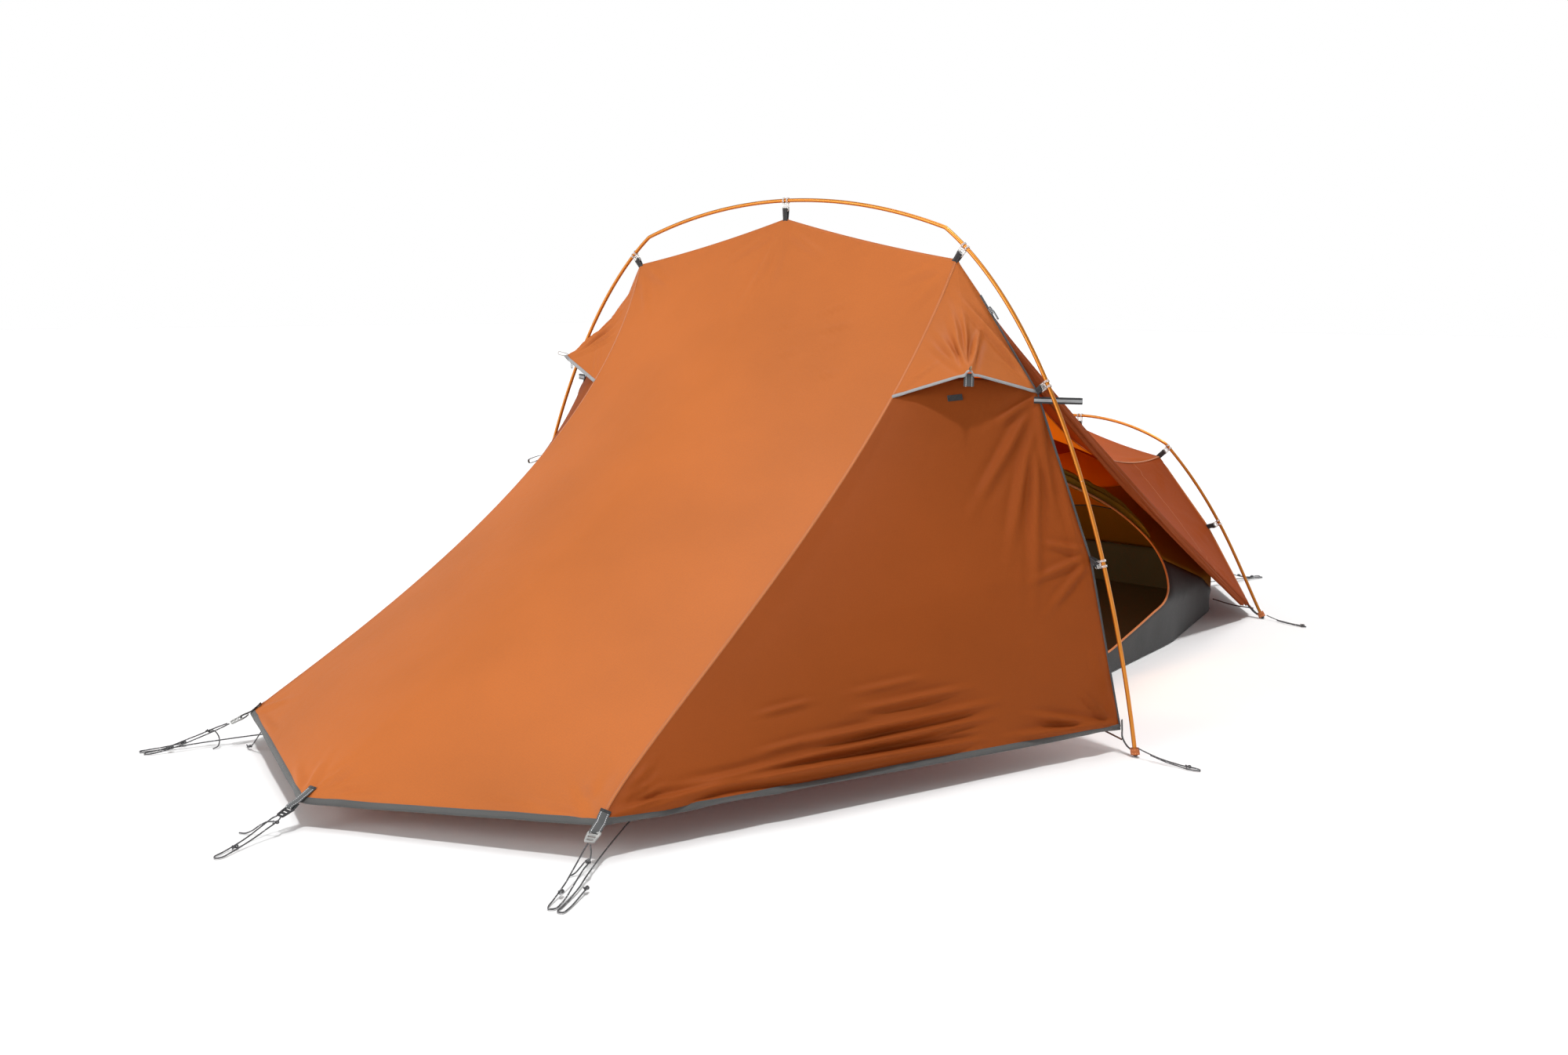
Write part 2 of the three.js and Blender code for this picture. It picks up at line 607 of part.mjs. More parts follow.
const farCorner = new THREE.Vector3(255, 1380, TRAY.wall + INNER_RISE);
const farMiddle = new THREE.Vector3(0, 1400, TRAY.wall + INNER_RISE);
const FAR_CORNER_SAG = 18;
const FAR_MIDDLE_SAG = 25;

function innerFar(u, v) {
  const side = sagging(innerSmallShoulder, farCorner, v, FAR_CORNER_SAG);
  const centre = sagging(innerSmallApex, farMiddle, v, FAR_MIDDLE_SAG);
  return overMiddle(2 * u - 1, side, centre, INNER_BEND);
}

// The side wall stands on the tray's edge, from the near corner to the far one: u along it, v from the top down.
const wallTop = (u) => {
  if (u < 0.35) return innerSeam.getPoint(1 - u / 0.35);
  if (u < 0.85) return sagging(innerShoulder, innerSmallShoulder, (u - 0.35) / 0.5, ROOF_SAG);
  return sagging(innerSmallShoulder, farCorner, (u - 0.85) / 0.15, FAR_CORNER_SAG);
};
const wallFoot = polyline(floorHalf.slice(1, 7).map(([x, y]) => new THREE.Vector3(x - 1, y, TRAY.wall + 3)));

function footUnder(top) {
  return wallFoot(whereItFallsTo(-top.y, (t) => -wallFoot(t).y));
}

function innerWall(u, v) {
  const top = wallTop(u);
  const foot = footUnder(top);
  top.x += 4;
  top.z -= 4;
  return mix(top, foot, v);
}

// The doorway, seen from the side: a leaning D that dips into the tray's wall.
const DOORWAY = { front: -150, back: 700, top: 600, sill: 66 };

function doorwayCutter() {
  const { front, back, top, sill } = DOORWAY;
  const outline = new THREE.Shape();
  outline.moveTo(front, sill + 60);
  outline.quadraticCurveTo(front, sill, front + 90, sill);
  outline.lineTo(300, sill);
  outline.bezierCurveTo(480, sill + 25, back, sill + 50, back - 15, sill + 120);
  outline.bezierCurveTo(back - 60, sill + 240, 330, 440, 150, top);
  outline.quadraticCurveTo(front + 60, top + 60, front, top - 80);
  const geometry = new THREE.ExtrudeGeometry(outline, { depth: 700, bevelEnabled: false, curveSegments: 5 });
  geometry.applyMatrix4(new THREE.Matrix4().makeBasis(
    new THREE.Vector3(0, 1, 0), new THREE.Vector3(0, 0, 1), new THREE.Vector3(1, 0, 0),
  ));
  return solid(geometry);
}

function trayGeometry() {
  const outer = new THREE.ExtrudeGeometry(floorShape(0), { depth: TRAY.wall, bevelEnabled: false });
  const inner = new THREE.ExtrudeGeometry(floorShape(TRAY.skin), { depth: TRAY.wall, bevelEnabled: false });
  inner.translate(0, 0, TRAY.skin);
  return fromSolid(solid(outer).subtract(solid(inner)).subtract(doorwayCutter()));
}

const wall = panel(inset(innerWall, 0.03, 0.97, 0.02, 1), 16, 4);
add("inner_floor_tray", trayGeometry(), "trayNylon");
add("inner_wall_right", fromSolid(solid(wall).subtract(doorwayCutter())), "innerNylon");
add("inner_wall_left", wall, "innerNylon").scale.x = -1;
add("inner_near_end", panel(inset(innerNear, 0.01, 0.99, 0.006, 0.985), 6, 6), "innerNylon");
add("inner_roof", panel(inset(innerRoof, 0.01, 0.99, 0.006, 0.994), 6, 7), "innerNylon");
add("inner_far_end", panel(inset(innerFar, 0.02, 0.98, 0.02, 0.97), 6, 3), "innerNylon");

// ---------------------------------------------------------------- adjuster buckles and guy lines

const BUCKLE = { wide: 24, long: 24, thick: 3.2, slot: 3.6, rim: 3 };

// A ladder-lock adjuster, lying along +X from its webbing bar, with a slot at each end.
function buckleGeometry() {
  const { wide, long, slot, rim } = BUCKLE;
  const outline = new THREE.Shape([
    [0, -wide / 2], [long, -wide / 2 + 3], [long, wide / 2 - 3], [0, wide / 2],
  ].map(([x, y]) => new THREE.Vector2(x, y)));
  const opening = (x) => {
    const half = wide / 2 - rim - 1 - x / 8; // the slots taper with the outline
    const corners = [[x, -half], [x, half], [x + slot, half], [x + slot, -half]];
    return new THREE.Path(corners.map(([a, b]) => new THREE.Vector2(a, b)));
  };
  outline.holes.push(opening(rim), opening(long / 2 - slot / 2), opening(long - rim - slot));
  const geometry = new THREE.ExtrudeGeometry(outline, { depth: BUCKLE.thick, bevelEnabled: false });
  return closed(geometry.translate(0, 0, -BUCKLE.thick / 2));
}

function placedBuckle(corner, towards, away) {
  const x = towards.clone().sub(corner).normalize();
  const y = new THREE.Vector3(0, 0, 1).cross(x).normalize();
  const at = corner.clone().addScaledVector(x, away);
  const geometry = buckleGeometry().applyMatrix4(new THREE.Matrix4().makeBasis(x, y, x.clone().cross(y)));
  return geometry.translate(at.x, at.y, at.z);
}

// Guy lines, doubled out to their peg loop and back, each as the points of its route.
const CORD = 2.5; // diameter
const CORD_STEPS = 14;
const NEAR_CORNER_LINE = [
  [519, -1362, 38], [528, -1382, 30], [538, -1404, 22], [548, -1426, 14], [557, -1448, 8], [566, -1468, 4],
  [573, -1483, 2], [581, -1490, 2], [587, -1483, 2], [583, -1468, 3], [576, -1452, 5], [567, -1431, 12],
  [558, -1410, 19], [550, -1391, 25], [545, -1375, 30],
];
const NEAR_MIDDLE_LINE = [
  [-9, -1568, 26], [-8, -1582, 21], [-5, -1598, 16], [-2, -1614, 11], [2, -1632, 7], [7, -1652, 4], [13, -1674, 2],
  [19, -1690, 2], [27, -1693, 2], [31, -1684, 2], [27, -1668, 3], [21, -1648, 5], [16, -1628, 8], [13, -1608, 13],
  [11, -1592, 18], [10, -1574, 24],
];
const MAIN_FOOT_LINE = [
  [914, -266, 20], [924, -266, 17], [938, -265, 13], [954, -264, 9], [972, -263, 6], [990, -262, 4], [1010, -260, 2],
  [1027, -259, 2], [1039, -262, 2], [1041, -269, 2], [1032, -273, 2], [1014, -272, 2], [994, -271, 4],
  [974, -271, 6], [956, -271, 10], [942, -271, 13],
];
const SMALL_FOOT_LINE = [
  [616, 1152, 12], [628, 1150, 9], [642, 1147, 6], [658, 1143, 4], [676, 1139, 3], [694, 1135, 2], [712, 1131, 2],
  [728, 1128, 2], [738, 1122, 2], [734, 1116, 2], [722, 1119, 2], [704, 1123, 2], [686, 1127, 3], [668, 1131, 4],
  [652, 1135, 5],
];
const FAR_CORNER_LINE = [
  [312, 1582, 44], [314, 1600, 38], [316, 1622, 30], [319, 1646, 22], [322, 1672, 15], [325, 1700, 9],
  [328, 1730, 5], [331, 1758, 2], [335, 1780, 2], [342, 1788, 2], [348, 1780, 2], [346, 1758, 2], [341, 1730, 5],
  [336, 1702, 9], [332, 1676, 15], [329, 1652, 21],
];

function guyLine(route) {
  const curve = new THREE.CatmullRomCurve3(route.map((point) => new THREE.Vector3(...point)), false, "centripetal");
  return tube(curve.getSpacedPoints(CORD_STEPS), CORD);
}

const BUCKLE_AWAY = 22; // from the hem corner to the buckle's webbing bar
const cornerBuckle = placedBuckle(NEAR_CORNER, new THREE.Vector3(...NEAR_CORNER_LINE[0]), BUCKLE_AWAY);
addPair("guy_buckle_near", cornerBuckle, "blackPlastic");
const middleAim = new THREE.Vector3(0, -1580, 22);
add("guy_buckle_near_middle", placedBuckle(NEAR_MIDDLE, middleAim, BUCKLE_AWAY), "blackPlastic");

addPair("guy_line_near_corner", guyLine(NEAR_CORNER_LINE), "guyCord");
add("guy_line_near_middle", guyLine(NEAR_MIDDLE_LINE), "guyCord");
addPair("guy_line_main_foot", guyLine(MAIN_FOOT_LINE), "guyCord");
addPair("guy_line_small_foot", guyLine(SMALL_FOOT_LINE), "guyCord");
addPair("guy_line_far_corner", guyLine(FAR_CORNER_LINE), "guyCord");

export default group;
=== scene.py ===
"""A pitched two-hoop backpacking tent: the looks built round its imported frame.

Metres. +X is the side with the open door, +Y runs from the tall end to the low end and +Z is up.
"""
import math

import bmesh
import bpy
import numpy as np
from mathutils import Matrix, Vector


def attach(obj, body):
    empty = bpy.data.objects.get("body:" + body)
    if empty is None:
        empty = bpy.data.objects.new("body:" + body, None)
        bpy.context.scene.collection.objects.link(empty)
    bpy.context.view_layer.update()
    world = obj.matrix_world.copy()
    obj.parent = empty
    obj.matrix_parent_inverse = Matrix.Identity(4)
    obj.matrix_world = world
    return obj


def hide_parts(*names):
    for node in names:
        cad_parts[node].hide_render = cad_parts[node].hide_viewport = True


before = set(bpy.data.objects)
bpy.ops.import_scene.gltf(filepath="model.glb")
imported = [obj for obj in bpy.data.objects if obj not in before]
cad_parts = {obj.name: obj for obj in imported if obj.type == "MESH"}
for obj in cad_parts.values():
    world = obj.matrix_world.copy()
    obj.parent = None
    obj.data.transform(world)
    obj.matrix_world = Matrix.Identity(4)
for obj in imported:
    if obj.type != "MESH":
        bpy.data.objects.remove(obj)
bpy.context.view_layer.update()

# ---------------------------------------------------------------- camera

CAMERA_AT = (2.1364, -2.8629, 0.8768)
CAMERA_HEADING = math.radians(39.14)
CAMERA_DOWN = math.radians(8.67)
CAMERA_ROLL = math.radians(0.24)

camera = bpy.data.objects.new("camera", bpy.data.cameras.new("camera"))
camera.data.lens = 34.03
camera.data.sensor_width = 36
turn = (
    Matrix.Rotation(CAMERA_HEADING, 4, "Z")
    @ Matrix.Rotation(math.pi / 2 - CAMERA_DOWN, 4, "X")
    @ Matrix.Rotation(CAMERA_ROLL, 4, "Z")
)
camera.matrix_world = Matrix.Translation(CAMERA_AT) @ turn
bpy.context.scene.collection.objects.link(camera)
bpy.context.scene.camera = camera

# ---------------------------------------------------------------- materials


class Nodes:
    """A material's node tree, with short calls for the nodes that it takes."""

    def __init__(self, name):
        self.material = bpy.data.materials.new(name)
        self.material.use_nodes = True
        self.tree = self.material.node_tree
        self.tree.nodes.clear()
        self.output = self.tree.nodes.new("ShaderNodeOutputMaterial")

    def add(self, kind, inputs=None, **settings):
        node = self.tree.nodes.new("ShaderNode" + kind)
        for key, value in settings.items():
            setattr(node, key, value)
        for key, value in (inputs or {}).items():
            if isinstance(value, bpy.types.NodeSocket):
                self.tree.links.new(value, node.inputs[key])
            else:
                node.inputs[key].default_value = value
        return node

    def math(self, operation, a, b=0.0, c=0.0):
        return self.add("Math", {0: a, 1: b, 2: c}, operation=operation).outputs[0]

    def mix(self, factor, a, b):
        node = self.add("Mix", data_type="RGBA")
        for socket, value in ((node.inputs[0], factor), (node.inputs[6], a), (node.inputs[7], b)):
            if isinstance(value, bpy.types.NodeSocket):
                self.tree.links.new(value, socket)
            else:
                socket.default_value = value
        return node.outputs[2]

    def noise(self, vector, scale, detail=2.0):
        return self.add("TexNoise", {"Vector": vector, "Scale": scale, "Detail": detail}).outputs[0]

    def ramp(self, value, low, high):
        """The value's range from low to high, stretched to 0 to 1."""
        node = self.add("MapRange", {"Value": value, "From Min": low, "From Max": high})
        return node.outputs[0]

    def uv(self):
        return self.add("UVMap").outputs[0]

    def object_place(self):
        return self.add("TexCoord").outputs["Object"]

    def axes(self, vector):
        return self.add("SeparateXYZ", {0: vector}).outputs

    def bump(self, height, strength, distance, normal=None):
        inputs = {"Height": height, "Strength": strength, "Distance": distance}
        if normal:
            inputs["Normal"] = normal
        return self.add("Bump", inputs).outputs[0]

    def finish(self, shader):
        self.tree.links.new(shader, self.output.inputs[0])
        return self.material


def shade(colour, factor):
    return (colour[0] * factor, colour[1] * factor, colour[2] * factor, 1)


def threads(nodes, uv, pitch):
    """The height of a plain weave: threads along u and v, over and under by turns."""
    u, v = nodes.axes(uv)[:2]
    along = nodes.math("SINE", nodes.math("MULTIPLY", u, 2 * math.pi / pitch))
    across = nodes.math("SINE", nodes.math("MULTIPLY", v, 2 * math.pi / pitch))
    return nodes.math("MULTIPLY", along, across)


def grid_lines(nodes, uv, pitch, width):
    """1 on the lines of a square grid and 0 between them."""
    lines = []
    for value in nodes.axes(uv)[:2]:
        place = nodes.math("PINGPONG", value, pitch / 2)
        lines.append(nodes.math("LESS_THAN", place, width / 2))
    return nodes.math("MAXIMUM", *lines)


def cloth(name, colour, through=0.3, roughness=0.5, ripstop=True, sheen=0.02, gloss=0.25, lit=None):
    """Thin coated nylon: a fine weave with stronger grid threads, and creases. through is the share of the light that
    it lets through, and lit the colour that this light takes."""
    nodes = Nodes(name)
    uv = nodes.uv()
    place = nodes.object_place()
    cloudy = nodes.noise(place, 2.3, 4)
    grain = nodes.noise(place, 420, 3)
    tone = nodes.mix(nodes.ramp(cloudy, 0.3, 0.7), shade(colour, 0.9), shade(colour, 1.08))
    tone = nodes.mix(nodes.ramp(grain, 0.25, 0.75), nodes.mix(0.1, tone, (0, 0, 0, 1)), tone)
    height = nodes.math("MULTIPLY", threads(nodes, uv, 0.0011), 0.25)
    if ripstop:
        lines = grid_lines(nodes, uv, 0.006, 0.0006)
        tone = nodes.mix(nodes.math("MULTIPLY", lines, 0.12), tone, shade(colour, 0.75))
        height = nodes.math("ADD", height, lines)
    fine = nodes.bump(height, 0.25, 0.0002)
    crushed = nodes.noise(place, 26, 5)
    ridges = nodes.math("ABSOLUTE", nodes.math("SUBTRACT", crushed, 0.5))
    long_waves = nodes.noise(place, 7, 2)
    uneven = nodes.math("ADD", nodes.math("MULTIPLY", ridges, -0.5), long_waves)
    normal = nodes.bump(uneven, 0.35, 0.006, fine)
    surface = nodes.add("BsdfPrincipled", {
        "Base Color": tone, "Roughness": nodes.ramp(grain, -1.2, 2.2 - roughness), "Normal": normal,
        "Sheen Weight": sheen, "Sheen Roughness": 0.4, "Specular IOR Level": gloss,
    })
    surface.inputs["Roughness"].default_value = roughness
    glow = nodes.add("BsdfTranslucent", {"Color": nodes.mix(0.5, tone, shade(lit or colour, 1.25)), "Normal": normal})
    mixed = nodes.add("MixShader", {0: through, 1: surface.outputs[0], 2: glow.outputs[0]})
    return nodes.finish(mixed.outputs[0])


def webbing(name, colour, stitch=None, rib=0.0012, edge=None):
    """Woven tape: ribs across it, and a row of stitches along each side. Its UV is in metres from its middle."""
    nodes = Nodes(name)
    u, v = nodes.axes(nodes.uv())[:2]
    ribs = nodes.math("SINE", nodes.math("MULTIPLY", v, 2 * math.pi / rib))
    columns = nodes.math("SINE", nodes.math("MULTIPLY", u, 2 * math.pi / (rib * 1.6)))
    weave = nodes.math("MULTIPLY", ribs, columns)
    tone = nodes.mix(nodes.ramp(weave, -1, 1), shade(colour, 0.7), shade(colour, 1.15))
    height = weave
    side = nodes.math("ABSOLUTE", u)
    if edge:
        tone = nodes.mix(nodes.math("GREATER_THAN", side, edge[0]), tone, shade(edge[1], 1))
    if stitch:
        near = nodes.math("LESS_THAN", nodes.math("ABSOLUTE", nodes.math("SUBTRACT", side, stitch[0])), 0.0006)
        dash = nodes.math("LESS_THAN", nodes.math("PINGPONG", v, 0.0018), 0.0011)
        thread = nodes.math("MULTIPLY", near, dash)
        tone = nodes.mix(thread, tone, shade(stitch[1], 1))
        height = nodes.math("ADD", height, nodes.math("MULTIPLY", thread, 2.0))
    surface = nodes.add("BsdfPrincipled", {
        "Base Color": tone, "Roughness": 0.75, "Normal": nodes.bump(height, 0.6, 0.0003), "Sheen Weight": 0.2,
    })
    return nodes.finish(surface.outputs[0])


def moulded(name, colour, roughness=0.42, scratch=0.5):
    """Moulded plastic with a fine spark-eroded texture and rubbed patches."""
    nodes = Nodes(name)
    place = nodes.object_place()
    pitted = nodes.noise(place, 1500, 2)
    worn = nodes.noise(place, 60, 4)
    tone = nodes.mix(nodes.ramp(worn, 0.45, 0.8), shade(colour, 1), shade(colour, 1.5))
    surface = nodes.add("BsdfPrincipled", {
        "Base Color": tone, "Roughness": nodes.math("ADD", roughness - 0.1, nodes.math("MULTIPLY", worn, 0.2)),
        "Normal": nodes.bump(pitted, 0.15 * scratch, 0.0003),
    })
    return nodes.finish(surface.outputs[0])


def clear_plastic(name):
    nodes = Nodes(name)
    place = nodes.object_place()
    flow = nodes.noise(place, 140, 3)
    surface = nodes.add("BsdfPrincipled", {
        "Base Color": nodes.mix(nodes.ramp(flow, 0.3, 0.7), (0.93, 0.9, 0.87, 1), (1, 0.99, 0.97, 1)),
        "Roughness": nodes.math("MULTIPLY", flow, 0.22), "Transmission Weight": 0.72, "IOR": 1.46,
        "Normal": nodes.bump(flow, 0.1, 0.0005),
    })
    return nodes.finish(surface.outputs[0])


def anodised(name, colour):
    """Drawn alloy tube, dyed: fine lines along it and a few rubbed marks."""
    nodes = Nodes(name)
    u, v = nodes.axes(nodes.uv())[:2]
    stretched = nodes.add("CombineXYZ", {0: nodes.math("MULTIPLY", u, 900), 1: nodes.math("MULTIPLY", v, 12)})
    drawn = nodes.noise(stretched.outputs[0], 1.0, 3)
    rubbed = nodes.noise(nodes.object_place(), 35, 5)
    tone = nodes.mix(nodes.ramp(drawn, 0.2, 0.8), shade(colour, 0.85), shade(colour, 1.1))
    tone = nodes.mix(nodes.ramp(rubbed, 0.72, 0.8), tone, (0.75, 0.6, 0.45, 1))
    surface = nodes.add("BsdfPrincipled", {
        "Base Color": tone, "Metallic": 0.75, "Roughness": nodes.ramp(drawn, -0.5, 2.2),
        "Normal": nodes.bump(drawn, 0.08, 0.0002), "Coat Weight": 0.3, "Coat Roughness": 0.2,
    })
    return nodes.finish(surface.outputs[0])


def metal(name, colour, roughness=0.32):
    nodes = Nodes(name)
    rubbed = nodes.noise(nodes.object_place(), 300, 4)
    surface = nodes.add("BsdfPrincipled", {
        "Base Color": nodes.mix(rubbed, shade(colour, 0.8), shade(colour, 1.15)), "Metallic": 0.9,
        "Roughness": nodes.math("ADD", roughness - 0.1, nodes.math("MULTIPLY", rubbed, 0.25)),
        "Normal": nodes.bump(rubbed, 0.1, 0.0003),
    })
    return nodes.finish(surface.outputs[0])


def braid(name, colour, tracer):
    """Braided cord: slanting strands both ways round it, one of them a pale tracer."""
    nodes = Nodes(name)
    place = nodes.object_place()
    strands = nodes.add("TexVoronoi", {"Vector": place, "Scale": 900.0}).outputs["Distance"]
    fleck = nodes.noise(place, 260, 2)
    tone = nodes.mix(nodes.ramp(strands, 0.1, 0.6), shade(colour, 1.25), shade(colour, 0.6))
    tone = nodes.mix(nodes.ramp(fleck, 0.6, 0.66), tone, shade(tracer, 1))
    surface = nodes.add("BsdfPrincipled", {
        "Base Color": tone, "Roughness": 0.7, "Normal": nodes.bump(strands, 0.7, 0.0004), "Sheen Weight": 0.15,
    })
    return nodes.finish(surface.outputs[0])


ORANGE = (0.56, 0.155, 0.030)
# painted shade: the fly's orange nylon, darkened for the side panels and the shut door, which face away from the light
SHADED_ORANGE = (0.43, 0.100, 0.017)
# painted shade: the same orange nylon, darkened for the panels over the doors and the far end, which lie in shade
SHADED_REAR_ORANGE = (0.44, 0.085, 0.018)
INNER = (0.42, 0.20, 0.02)
GOLD = (0.75, 0.38, 0.02)
GREY = (0.055, 0.055, 0.055)
BLACK = (0.02, 0.02, 0.022)
WHITE_THREAD = (0.75, 0.76, 0.78)

fly_light = cloth("fly_nylon", ORANGE, through=0.15)
fly_top = cloth("fly_nylon_top", ORANGE, through=0.5, lit=(1.4, 0.72, 0.03))
# painted shade: the side panels and the shut door take the darkened copy of the orange nylon
fly_shaded = cloth("fly_nylon_side", SHADED_ORANGE, through=0.4, gloss=0.12, sheen=0.0)
# painted shade: the panels over the doors and the far end take this darkened copy of the orange nylon
fly_shaded_rear = cloth("fly_nylon_rear", SHADED_REAR_ORANGE, through=0.35, gloss=0.05, sheen=0.0)
# painted shade: the door's orange nylon, darkened further for the shade in the rolled door's pleats
shaded_roll_cloth = cloth("fly_nylon_rolled", (0.33, 0.065, 0.014), through=0.15, gloss=0.05, sheen=0.0)
inner_cloth = cloth("inner_nylon", INNER, through=0.5, roughness=0.65, gloss=0.06, sheen=0.0)
inner_gold = cloth("inner_nylon_top", GOLD, through=0.7, roughness=0.65, gloss=0.06, sheen=0.0, lit=(1.2, 0.6, 0.02))
inner_door_cloth = cloth("inner_door_nylon", (0.21, 0.105, 0.010), through=0.1, roughness=0.65, gloss=0.06, sheen=0.0)
floor_cloth = cloth("floor_nylon", GREY, through=0.05, roughness=0.5, ripstop=False)
seam_cloth = webbing("seam", (0.60, 0.175, 0.035), (0.0020, (0.36, 0.09, 0.02)), rib=0.0009)
hem_tape = webbing("hem_tape", (0.085, 0.085, 0.082), (0.0042, (0.055, 0.055, 0.055)), rib=0.0011)
grey_webbing = webbing("grey_webbing", (0.085, 0.088, 0.09), (0.0058, WHITE_THREAD))
black_webbing = webbing("black_webbing", BLACK, (0.0042, (0.06, 0.06, 0.065)))
orange_webbing = webbing("orange_webbing", (0.55, 0.14, 0.03), (0.0035, (0.75, 0.3, 0.1)))
reflective = webbing("reflective_tape", (0.33, 0.33, 0.335), (0.0032, (0.25, 0.25, 0.25)), rib=0.0016)
zip_tape = webbing("zip_tape", (0.09, 0.09, 0.095), (0.0085, (0.16, 0.16, 0.17)))
orange_piping = webbing("orange_zip_tape", (0.65, 0.2, 0.04), None)
elastic = braid("shock_cord", (0.12, 0.035, 0.015), (0.3, 0.1, 0.04))
guy_braid = braid("guy_braid", (0.075, 0.075, 0.08), (0.35, 0.35, 0.36))
pole_alloy = anodised("orange_alloy", (0.64, 0.22, 0.020))
bare_alloy = metal("bare_alloy", (0.7, 0.7, 0.72))
zip_metal = metal("zip_metal", (0.35, 0.36, 0.37), 0.4)
black_plastic = moulded("black_plastic", (0.018, 0.018, 0.02))
grey_plastic = moulded("grey_plastic", (0.33, 0.33, 0.32))
clip_plastic = clear_plastic("clear_plastic")

# ---------------------------------------------------------------- mesh tools


def arr(*values):
    return np.array(values, float)


def lerp(a, b, t):
    return a + (b - a) * t


def unit(vectors):
    length = np.linalg.norm(vectors, axis=-1, keepdims=True)
    return vectors / np.maximum(length, 1e-12)


def mirrored(points):
    return np.asarray(points, float) * (-1, 1, 1)


def bezier(a, b, c, d, t):
    t = np.asarray(t, float)[..., None]
    s = 1 - t
    return s**3 * a + 3 * s * s * t * b + 3 * s * t * t * c + t**3 * d


def polyline(points):
    """A function of t, from 0 to 1 over the whole length of the line through the points."""
    points = np.array(points, float)
    along = np.concatenate([[0], np.cumsum(np.linalg.norm(np.diff(points, axis=0), axis=1))])

    def at(t):
        place = np.clip(t, 0, 1) * along[-1]
        return np.stack([np.interp(place, along, points[:, k]) for k in range(3)], axis=-1)

    return at


def smooth_line(points, step=0.004):
    """A centripetal Catmull-Rom curve through the points, sampled evenly."""
    p = np.array(points, float)
    p = np.concatenate([[2 * p[0] - p[1]], p, [2 * p[-1] - p[-2]]])
    out = []
    for a, b, c, d in zip(p, p[1:], p[2:], p[3:]):
        t1 = np.linalg.norm(b - a) ** 0.5
        t2 = t1 + np.linalg.norm(c - b) ** 0.5
        t3 = t2 + np.linalg.norm(d - c) ** 0.5
        t = np.linspace(t1, t2, 12, endpoint=False)[:, None]
        ab = (t1 - t) / t1 * a + t / t1 * b
        bc = (t2 - t) / (t2 - t1) * b + (t - t1) / (t2 - t1) * c
        cd = (t3 - t) / (t3 - t2) * c + (t - t2) / (t3 - t2) * d
        abc = (t2 - t) / t2 * ab + t / t2 * bc
        bcd = (t3 - t) / (t3 - t1) * bc + (t - t1) / (t3 - t1) * cd
        out.append((t2 - t) / (t2 - t1) * abc + (t - t1) / (t2 - t1) * bcd)
    dense = np.concatenate(out + [p[-2:-1]])
    at = polyline(dense)
    count = max(3, round(np.linalg.norm(np.diff(dense, axis=0), axis=1).sum() / step))
    return at(np.linspace(0, 1, count + 1))


def new_object(name, mesh, material, smooth=True):
    piece = bpy.data.objects.new(name, mesh)
    bpy.context.scene.collection.objects.link(piece)
    mesh.materials.append(material)
    if smooth:
        mesh.polygons.foreach_set("use_smooth", [True] * len(mesh.polygons))
    return piece


def mesh_of(name, vertices, faces, uv=None):
    """A mesh from lists of points and faces. uv has one pair for each vertex."""
    mesh = bpy.data.meshes.new(name)
    mesh.from_pydata([tuple(v) for v in np.asarray(vertices, float)], [], [tuple(map(int, f)) for f in faces])
    if uv is not None:
        layer = mesh.uv_layers.new(name="UVMap")
        corners = np.zeros(len(mesh.loops), np.int32)
        mesh.loops.foreach_get("vertex_index", corners)
        layer.data.foreach_set("uv", np.asarray(uv, float)[corners].ravel())
    return mesh


def grid_faces(rows, columns, start=0, flip=False, around=False):
    """Quads of a grid of points, row after row. around joins the last column to the first."""
    faces = []
    for i in range(rows - 1):
        for j in range(columns if around else columns - 1):
            k = (j + 1) % columns
            quad = (i * columns + j, i * columns + k, (i + 1) * columns + k, (i + 1) * columns + j)
            quad = [start + q for q in quad]
            faces.append(quad[::-1] if flip else quad)
    return faces


def frames_along(points, up=None):
    """Unit tangents, and two directions across, for each point of a line."""
    points = np.asarray(points, float)
    tangents = unit(np.gradient(points, axis=0))
    sides = np.zeros_like(points)
    start = arr(0, 0, 1) if abs(tangents[0][2]) < 0.9 else arr(0, 1, 0)
    side = unit(np.cross(start, tangents[0]))
    for i, tangent in enumerate(tangents):
        if up is not None:
            side = unit(np.cross(up if np.ndim(up) == 1 else up[i], tangent))
        else:
            side = unit(side - tangent * (side @ tangent))
        sides[i] = side
    return tangents, sides, np.cross(tangents, sides)


def sweep(name, points, section, material, up=None, scale=None):
    """A closed section of (across, up) pairs carried along a line, with flat ends."""
    points = np.asarray(points, float)
    section = np.asarray(section, float)
    tangents, sides, ups = frames_along(points, up)
    scale = np.ones(len(points)) if scale is None else np.asarray(scale, float)
    ring = sides[:, None] * section[None, :, :1] + ups[:, None] * section[None, :, 1:]
    vertices = points[:, None] + ring * scale[:, None, None]
    count = len(section)
    along = np.concatenate([[0], np.cumsum(np.linalg.norm(np.diff(points, axis=0), axis=1))])
    uv = np.stack(np.broadcast_arrays(section[None, :, 0], along[:, None]), axis=-1).reshape(-1, 2)
    faces = grid_faces(len(points), count, around=True)
    faces.append(list(range(count))[::-1])
    faces.append([(len(points) - 1) * count + i for i in range(count)])
    mesh = mesh_of(name, vertices.reshape(-1, 3), faces, uv)
    piece = new_object(name, mesh, material)
    return outwards(piece)


def outwards(piece):
    """Turns a closed mesh's faces to point out."""
    work = bmesh.new()
    work.from_mesh(piece.data)
    bmesh.ops.recalc_face_normals(work, faces=work.faces)
    work.to_mesh(piece.data)
    work.free()
    return piece


def circle(radius, sides=16):
    angles = np.arange(sides) * 2 * math.pi / sides
    return np.stack([radius * np.cos(angles), radius * np.sin(angles)], axis=1)


